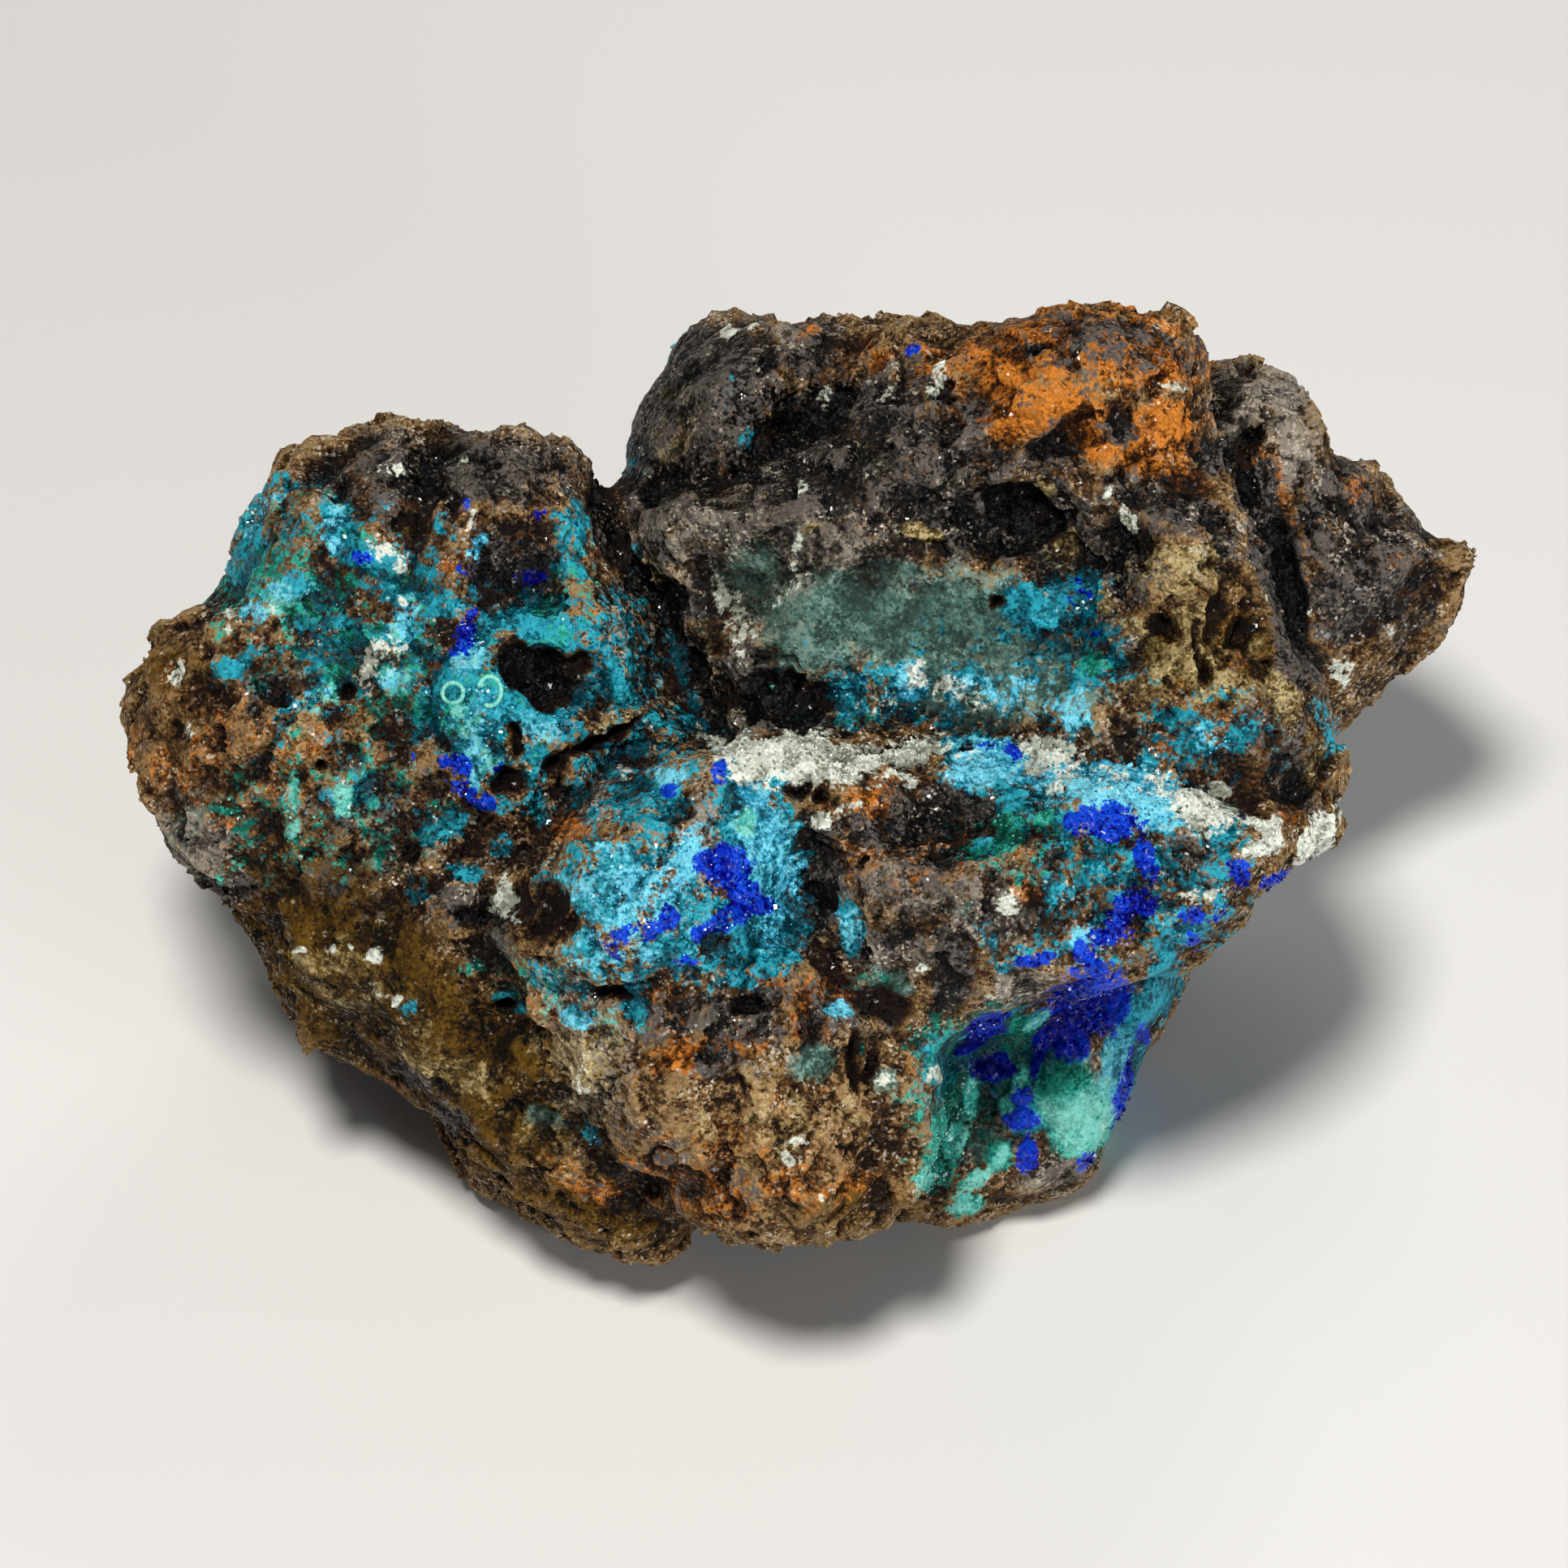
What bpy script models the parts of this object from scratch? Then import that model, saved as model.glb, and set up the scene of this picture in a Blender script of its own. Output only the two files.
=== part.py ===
"""Hand specimen of copper ore: iron-stained rock crusted with chrysocolla, malachite and azurite.

The rock broke out of its vein as one piece, so it is one solid. It is built from lumps, each drawn
as an outline on the specimen's display face and domed in front and behind. The lumps are fused,
then hollowed, cracked and roughened, and the underside is trimmed level where the rock rests.

Display face: x runs to the right, v runs up the face and t stands out of it, in millimetres. The
face leans back, so a floor under the rock makes the angle FACE_LEAN with the direction of t.
"""

import math
from typing import NamedTuple

import bmesh
import bpy
from mathutils import Matrix, Vector, noise

MM = 0.001

# Driving dimensions, in millimetres and degrees
FACE_LEAN = 45.0
FACE_HEIGHT = 37.0
FUSE_SIZE = 0.8
SOLID_TRIANGLES = 9600
DOME_RINGS = 5
# How much of the roughness is left where the face turns away, so that its drawn outline stays
OUTLINE_ROUGHNESS = 0.75
NODE_NAME = "mineral_specimen"

# The finish of the bare rock
ROCK_COLOUR = (0.16, 0.10, 0.06, 1.0)
ROCK_ROUGHNESS = 0.85


class Lump(NamedTuple):
    """A rounded mass with its widest outline at depth rim, domed to front and to back."""

    name: str
    rim: float
    front: float
    back: float
    squareness: float
    slope: tuple
    outline: list


class Press(NamedTuple):
    """A round hollow (depth above zero) or swelling (below zero) in the face."""

    name: str
    centre: tuple
    radii: tuple
    turn: float
    depth: float


class Crack(NamedTuple):
    """A groove along a line on the face."""

    name: str
    width: float
    depth: float
    line: list


FACE_LUMPS = [
    Lump("left lobe", -19, -8, -34, 2.6, (0.12, -0.05), [
        (-39.5, 3.5), (-38, 7), (-34.5, 11), (-33, 13), (-31.5, 15.5), (-30, 17.5), (-25.5, 20.5),
        (-22, 21.5), (-21, 21), (-20.5, 20), (-19.5, 21), (-18, 21), (-15, 20.5), (-12.5, 20),
        (-11.5, 18), (-10.5, 17), (-9.5, 13), (-7.5, 10.5), (-5.5, 5.5), (-3, 1.5), (-6, -2),
        (-12.5, -4.5), (-19.5, -6.5), (-24.5, -7.5), (-30.5, -7), (-33.5, -7.5), (-35, -6.5),
        (-37, -4), (-37.5, -2.5), (-37.5, -1), (-39, 0.5),
    ]),
    Lump("front bulge", -9, 0.5, -25, 2.4, (0, 0), [
        (-3, 1.5), (-0.5, -1), (1, -4.5), (1, -9), (-1, -11), (-5, -12.5), (-10.5, -13),
        (-14.5, -12.5), (-16.5, -9), (-15, -5.5), (-13, -3), (-10, 0), (-6.5, 1.5),
    ]),
    Lump("brown belly", -11, -1.5, -30, 3.0, (0, 0.1), [
        (-14.5, -9.5), (-9.5, -7.5), (-3, -7), (4, -9), (9, -13), (9.5, -18.5), (8.5, -23),
        (7, -25.5), (4.5, -27.5), (1.5, -27.5), (-2.5, -27), (-4, -25.5), (-6.5, -24.5),
        (-9.5, -22.5), (-11.5, -19.5), (-13.5, -16),
    ]),
    Lump("ledge block", -9, -2.5, -26, 3.5, (-0.08, 0), [
        (-2.5, 1), (4.5, 0.5), (10.5, 1.5), (16.5, 0.5), (21, 0), (25.5, -1), (29.5, -2),
        (31.5, -2.5), (30.5, -4), (28.5, -5.5), (27, -7), (26, -9), (23, -11), (20.5, -12),
        (17.5, -12.5), (13, -13.5), (9.5, -15.5), (4.5, -13.5), (0, -11.5), (-1.5, -4.5),
    ]),
    Lump("lower flank", -21, -9, -32, 2.4, (0.15, 0.2), [
        (-33.5, -7.5), (-32, -8.5), (-30.5, -11.5), (-28.5, -14), (-24, -17.5), (-20.5, -20),
        (-19, -22), (-17.5, -24), (-14.5, -26), (-12, -27.5), (-8, -29), (-6, -27.5), (-5, -26),
        (0, -20), (-2, -9), (-8, 2), (-19, 7), (-29, 5), (-34.5, 0), (-35.5, -4),
    ]),
    Lump("blue face", -25, -19, -36, 4.0, (0, 0.1), [
        (8, -14.5), (16.5, -11), (25.5, -10), (24, -12), (23, -14.5), (21.5, -16.5), (20.5, -19),
        (19.5, -22), (19, -23.5), (16.5, -25), (13, -26), (9, -26.5), (6.5, -26.5), (5, -21.5),
    ]),
    Lump("upper mass", -20, -6, -38, 3.0, (0, -0.12), [
        (-7.5, 11), (-9.2, 13), (-9.9, 16), (-8.7, 17), (-4.4, 17.3), (-2.4, 18.4), (0.5, 20.6),
        (2.9, 22.2), (4, 24), (5, 27), (7, 27.5), (11, 27), (12.5, 27), (14.5, 27.5), (17, 28), (20.5, 27.5), (23.5, 27), (25, 26),
        (25.5, 24.5), (26, 19.5), (28, 15.5), (29.5, 10.5), (31, 5.5), (32.5, 1), (32, -1.5),
        (28.5, -4), (21.5, -5), (11.5, -4), (2, -3), (-4, 0), (-6.5, 5), (-7.5, 9.5),
    ]),
    Lump("left hump", -24, -13, -38, 2.4, (0, 0), [
        (-10.5, 14.5), (-9.5, 18), (-8.5, 21.5), (-7.5, 23.5), (-6, 25.5), (-5, 26.5), (-3, 27.5),
        (0, 27.5), (4, 27.5), (9, 27), (10, 21), (5, 14), (-3, 9), (-8.5, 9.5),
    ]),
    Lump("right knob", -30, -23, -42, 2.3, (0, 0), [
        (25.5, 26), (27, 25), (29, 25.5), (30.5, 25), (31.5, 24), (32.5, 23), (32.5, 22), (33, 21),
        (34, 19.5), (36, 19), (37, 18), (38, 16.5), (39.5, 14.5), (41, 13.5), (41.5, 12),
        (41, 10.5), (40.5, 9), (39, 7), (38, 6), (36, 5), (34, 3), (29, 2), (21, 5), (19, 14),
        (21, 23),
    ]),
    Lump("rust cap", -14, -7.5, -26, 2.8, (0, -0.15), [
        (10.5, 26), (12.5, 27), (16.5, 27.5), (20.5, 27.5), (23.5, 26.5), (25, 24), (25, 20),
        (23, 17.5), (19.5, 18), (16.5, 19), (13, 20), (11, 22.5),
    ]),
    Lump("right ridge", -14, -6.5, -28, 2.4, (0, 0), [
        (25, 19.5), (27.5, 15.5), (29.5, 10.5), (31, 5.5), (32.5, 0.5), (32, -2.5), (30.5, -2),
        (29, 3), (27.5, 8), (25.5, 12.5), (24, 16.5),
    ]),
    Lump("grey lump", -20, -15, -28, 2.4, (0, 0), [
        (-37.5, -1), (-35.5, -1), (-31.5, -2), (-29.5, -4), (-31, -6.5), (-33.5, -7.5),
        (-35, -6.5), (-37, -4),
    ]),
]

# The hidden body that carries the lumps, drawn in plan: x to the right, y to the back, z up.
BASE_LUMP = Lump("core", 17, 31, -0.3, 3.2, (0, 0), [
    (-30, 23), (-26, 16), (-18, 9), (-14, 4), (-6, -2), (6, 0), (15, 3), (19, 9), (22, 18),
    (27, 26), (28, 35), (21, 41), (8, 42), (-5, 40), (-10, 36), (-19, 36), (-27, 31),
])

PRESSES = [
    Press("green bowl", (9, 9.5), (16, 9), -8, 4.5),
    Press("foot of the bowl, behind the ledge", (6, 4.5), (13, 3), -4, 3.5),
    Press("cavity under the rust cap", (15, 14.5), (6.5, 3.5), -12, 3.5),
    Press("hollow beside the cleft", (-3, 11), (4, 5), 60, 2.5),
    Press("recess under the ledge", (10, -1.5), (4, 2), -10, 1.6),
    Press("heart-shaped hollow", (-14.2, 6.2), (2.8, 2.3), 0, 2.0),
    Press("hollow above the heart", (-15, 11), (3.6, 2.0), 10, 1.8),
    Press("dark hollow on the bulge's foot", (-13.9, -7.7), (1.9, 2.1), 0, 1.6),
    Press("dark recess beside the cleft's foot", (-0.4, 4.8), (3.4, 2.2), -8, 1.8),
    Press("yellow boss", (23.5, 12), (4, 3.6), 0, -2.5),
    Press("green boss", (25.5, 5.5), (5, 4), 0, -1.6),
    Press("top of the right ridge", (26, 17.5), (3, 3), 0, -1.2),
    Press("crown of the rust cap", (17, 23), (6, 3), -15, -1.2),
]

CRACKS = [
    Crack("cleft beside the left lobe", 1.6, 4.0, [
        (-10.5, 17), (-9.5, 13), (-7.5, 10.5), (-5.5, 5.5), (-3, 1.5),
    ]),
    Crack("groove across the left lobe's top", 1.8, 1.8, [(-20.3, 20.5), (-20, 17), (-21, 13.5)]),
    Crack("joint between bulge and ledge", 1.4, 1.5, [(1.4, -4), (1.6, -7), (3, -12)]),
    Crack("joint left of the bulge", 1.6, 1.6, [(-16.5, -9), (-15, -4.5), (-11.5, -0.5), (-7.5, 3)]),
    Crack("step between mass and hump", 1.5, 2.0, [
        (-9, 17), (-4.4, 17.3), (-2.4, 18.4), (0.5, 20.6), (3, 22.5),
    ]),
    Crack("crack down the right ridge", 1.0, 1.2, [(24.9, 9.7), (24.9, 7.2), (24.3, 4.8)]),
]


def face_frame():
    """The display face's axes as a matrix, in millimetres, with the floor at z = 0."""
    lean = math.radians(FACE_LEAN)
    across = Vector((1, 0, 0))
    up_face = Vector((0, math.sin(lean), math.cos(lean)))
    out_of_face = Vector((0, -math.cos(lean), math.sin(lean)))
    axes = Matrix((across, up_face, out_of_face)).transposed().to_4x4()
    return Matrix.Translation((0, 0, FACE_HEIGHT)) @ axes


def dome(bm, face, middle, reach, squareness):
    """Extrudes a face into a dome of height reach, which narrows towards the middle."""
    for ring in range(1, DOME_RINGS + 1):
        share = math.sin(math.pi / 2 * ring / DOME_RINGS)
        last = math.sin(math.pi / 2 * (ring - 1) / DOME_RINGS)
        width = (1 - share**squareness + 1e-4) ** (1 / squareness)
        width_before = (1 - last**squareness + 1e-4) ** (1 / squareness)
        grown = bmesh.ops.extrude_face_region(bm, geom=[face])["geom"]
        corners = [item for item in grown if isinstance(item, bmesh.types.BMVert)]
        bmesh.ops.delete(bm, geom=[face], context="FACES_ONLY")
        face = next(item for item in grown if isinstance(item, bmesh.types.BMFace))
        bmesh.ops.translate(bm, verts=corners, vec=(0, 0, reach * (share - last)))
        scale = width / width_before
        bmesh.ops.scale(bm, verts=corners, vec=(scale, scale, 1),
                        space=Matrix.Translation(-middle))


def lump_mesh(lump, frame):
    """One lump as a closed mesh, placed by the matrix of the frame that it is drawn in."""
    bm = bmesh.new()
    corners = [bm.verts.new((x, v, lump.rim)) for x, v in lump.outline]
    middle = sum((corner.co for corner in corners), Vector()) / len(corners)
    front = bm.faces.new(corners)
    back = front.copy()
    dome(bm, front, middle, lump.front - lump.rim, lump.squareness)
    dome(bm, back, middle, lump.back - lump.rim, lump.squareness)
    bmesh.ops.remove_doubles(bm, verts=bm.verts, dist=1e-4)
    for vert in bm.verts:
        offset = vert.co - middle
        vert.co.z += lump.slope[0] * offset.x + lump.slope[1] * offset.y
    bmesh.ops.recalc_face_normals(bm, faces=bm.faces)
    bmesh.ops.transform(bm, matrix=frame, verts=bm.verts)
    mesh = bpy.data.meshes.new(lump.name)
    bm.to_mesh(mesh)
    bm.free()
    return mesh


def evaluated_copy(obj):
    """The object's mesh with its modifiers applied."""
    graph = bpy.context.evaluated_depsgraph_get()
    return bpy.data.meshes.new_from_object(obj.evaluated_get(graph), depsgraph=graph)


def fused(mesh, voxel):
    """Fuses overlapping closed shells into one skin of even faces."""
    helper = bpy.data.objects.new("fusing", mesh)
    bpy.context.scene.collection.objects.link(helper)
    remesh = helper.modifiers.new("Fuse", "REMESH")
    remesh.mode = "VOXEL"
    remesh.voxel_size = voxel
    result = evaluated_copy(helper)
    bpy.data.objects.remove(helper)
    return result


def decimated(mesh, triangles):
    """Thins the skin to about this many triangles."""
    helper = bpy.data.objects.new("thinning", mesh)
    bpy.context.scene.collection.objects.link(helper)
    mesh.calc_loop_triangles()
    thin = helper.modifiers.new("Thin", "DECIMATE")
    thin.ratio = triangles / len(mesh.loop_triangles)
    thin.use_collapse_triangulate = True
    result = evaluated_copy(helper)
    bpy.data.objects.remove(helper)
    return result


def fall_off(distance):
    """1 at the middle of a feature, falling smoothly to 0 at distance 1."""
    if distance >= 1:
        return 0.0
    return (1 - distance * distance) ** 2


def distance_to_line(point, line):
    """Distance on the face from a point to a line of points."""
    nearest = math.inf
    for start, end in zip(line, line[1:]):
        run_x, run_v = end[0] - start[0], end[1] - start[1]
        along = (point[0] - start[0]) * run_x + (point[1] - start[1]) * run_v
        share = min(1, max(0, along / (run_x * run_x + run_v * run_v)))
        gap_x = point[0] - start[0] - share * run_x
        gap_v = point[1] - start[1] - share * run_v
        nearest = min(nearest, math.hypot(gap_x, gap_v))
    return nearest


def press_depth(press, x, v):
    """How far one press sinks the face at (x, v)."""
    turn = math.radians(press.turn)
    gap_x, gap_v = x - press.centre[0], v - press.centre[1]
    along = gap_x * math.cos(turn) + gap_v * math.sin(turn)
    across = gap_v * math.cos(turn) - gap_x * math.sin(turn)
    return press.depth * fall_off(math.hypot(along / press.radii[0], across / press.radii[1]))


def sink(x, v):
    """How far the presses and cracks together sink the face at (x, v)."""
    depth = sum(press_depth(press, x, v) for press in PRESSES)
    for crack in CRACKS:
        depth += crack.depth * fall_off(distance_to_line((x, v), crack.line) / crack.width)
    return depth


def chips(point, size):
    """Height of a broken surface: each cell is one flat chip, tilted its own way."""
    centre = noise.voronoi(point / size)[1][0]
    tilt = noise.cell_vector(centre * 97) - Vector((0.5, 0.5, 0.5))
    return size * tilt.dot(point / size - centre)


def roughness(point):
    """Height of the rock's roughness, in millimetres, from broad swells down to small chips."""
    swell = noise.noise(point / 11) * 1.2
    lumps = noise.noise(point / 4.6 + Vector((7, 3, 5))) * 0.9
    chipped = chips(point, 6.5) * 0.5 + chips(point + Vector((31, 17, 5)), 3.2) * 0.4
    pitted = -max(0.0, noise.noise(point / 2.6 + Vector((2, 9, 4))) - 0.25) * 1.8
    return swell + lumps + chipped + pitted


def sculpt(mesh, frame):
    """Sinks the hollows and cracks into the display face, then roughens the whole skin."""
    to_face = frame.inverted()
    out_of_face = frame.to_3x3() @ Vector((0, 0, 1))
    smooth = [(vert.co.copy(), vert.normal.copy()) for vert in mesh.vertices]
    for vert, (point, normal) in zip(mesh.vertices, smooth):
        facing = normal.dot(out_of_face)
        x, v, _ = to_face @ point
        pressed = out_of_face * sink(x, v) * min(1, max(0, 2 * facing))
        kept = OUTLINE_ROUGHNESS + (1 - OUTLINE_ROUGHNESS) * abs(facing)
        vert.co = point - pressed + normal * roughness(point) * kept
    mesh.update()


def cut_level(mesh):
    """Cuts the underside level at z = 0 and closes the cut with flat faces."""
    bm = bmesh.new()
    bm.from_mesh(mesh)
    everything = list(bm.verts) + list(bm.edges) + list(bm.faces)
    cut = bmesh.ops.bisect_plane(bm, geom=everything, plane_co=(0, 0, 0), plane_no=(0, 0, -1),
                                 clear_outer=True)
    rim = [item for item in cut["geom_cut"] if isinstance(item, bmesh.types.BMEdge)]
    bmesh.ops.triangle_fill(bm, edges=rim, use_beauty=True, normal=(0, 0, -1))
    bmesh.ops.recalc_face_normals(bm, faces=bm.faces)
    bm.to_mesh(mesh)
    bm.free()


def centre_on_base(mesh):
    """Moves the rock so that its box stands on the origin."""
    xs, ys, _ = zip(*(vert.co for vert in mesh.vertices))
    shift = Vector((-(min(xs) + max(xs)) / 2, -(min(ys) + max(ys)) / 2, 0))
    mesh.transform(Matrix.Translation(shift))


def rock_material():
    """Dull, iron-stained rock."""
    material = bpy.data.materials.new("iron_stained_rock")
    material.use_nodes = True
    shader = material.node_tree.nodes["Principled BSDF"]
    shader.inputs["Base Color"].default_value = ROCK_COLOUR
    shader.inputs["Roughness"].default_value = ROCK_ROUGHNESS
    shader.inputs["Metallic"].default_value = 0.0
    return material


def main():
    for obj in list(bpy.data.objects):
        bpy.data.objects.remove(obj)
    frame = face_frame()
    bm = bmesh.new()
    for lump in FACE_LUMPS:
        bm.from_mesh(lump_mesh(lump, frame))
    bm.from_mesh(lump_mesh(BASE_LUMP, Matrix.Identity(4)))
    heap = bpy.data.meshes.new("lumps")
    bm.to_mesh(heap)
    bm.free()
    skin = fused(heap, FUSE_SIZE)
    sculpt(skin, frame)
    skin = decimated(fused(skin, FUSE_SIZE), SOLID_TRIANGLES)
    cut_level(skin)
    centre_on_base(skin)
    skin.transform(Matrix.Scale(MM, 4))
    skin.materials.clear()
    skin.materials.append(rock_material())
    rock = bpy.data.objects.new(NODE_NAME, skin)
    bpy.context.scene.collection.objects.link(rock)


main()
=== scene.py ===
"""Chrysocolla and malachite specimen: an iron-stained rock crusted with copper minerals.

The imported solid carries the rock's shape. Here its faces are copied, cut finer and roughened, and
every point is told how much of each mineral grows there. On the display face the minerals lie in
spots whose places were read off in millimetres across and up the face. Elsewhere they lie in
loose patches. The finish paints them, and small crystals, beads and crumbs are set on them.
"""

import math

import bmesh
import bpy
import numpy as np
from mathutils import Matrix, Vector, noise


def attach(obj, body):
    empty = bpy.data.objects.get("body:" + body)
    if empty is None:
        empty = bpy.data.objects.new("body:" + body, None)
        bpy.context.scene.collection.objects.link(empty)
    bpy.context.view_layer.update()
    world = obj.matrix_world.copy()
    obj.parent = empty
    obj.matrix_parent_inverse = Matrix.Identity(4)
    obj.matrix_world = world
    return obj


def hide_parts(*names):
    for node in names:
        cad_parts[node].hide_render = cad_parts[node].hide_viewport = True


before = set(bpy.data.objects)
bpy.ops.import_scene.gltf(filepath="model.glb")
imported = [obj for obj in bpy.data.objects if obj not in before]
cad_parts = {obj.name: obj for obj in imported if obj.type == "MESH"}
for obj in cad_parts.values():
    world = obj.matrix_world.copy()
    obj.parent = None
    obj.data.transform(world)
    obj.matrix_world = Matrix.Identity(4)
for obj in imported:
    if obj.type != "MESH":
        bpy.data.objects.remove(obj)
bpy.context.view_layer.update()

MM = 0.001
NODE = "mineral_specimen"
BODY = "root"

# The display face: x to the right, v up the face and t out of it, from this point of the frame
FACE_ORIGIN = Vector((-1.37, -14.44, 37.0)) * MM
FACE_LEAN = math.radians(45)
UP_FACE = Vector((0, math.sin(FACE_LEAN), math.cos(FACE_LEAN)))
OUT_OF_FACE = Vector((0, -math.cos(FACE_LEAN), math.sin(FACE_LEAN)))
ACROSS = Vector((1, 0, 0))

# The camera: square to the face, and PICTURE_WIDTH across at the depth of the rock's outline,
# which is OUTLINE_DEPTH out from the face's origin
VIEW_DISTANCE = 417 * MM
OUTLINE_DEPTH = -20 * MM
PICTURE_WIDTH = 93.8 * MM
PICTURE_CENTRE = (0.29 * MM, -0.29 * MM)
SENSOR_WIDTH = 36.0
CLIP_START = 0.02

# Skin: how long an edge may be on the display face and away from it, and where that changes
FINE_EDGE = 0.50 * MM
COARSE_EDGE = 1.10 * MM
FINE_END = -0.35
FINE_FADE = 0.4
CUT_ROUNDS = 6
EASE_ROUNDS = 2
MERGE_GAP = 0.001 * MM
PAD_HEIGHT = 0.02 * MM
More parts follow.
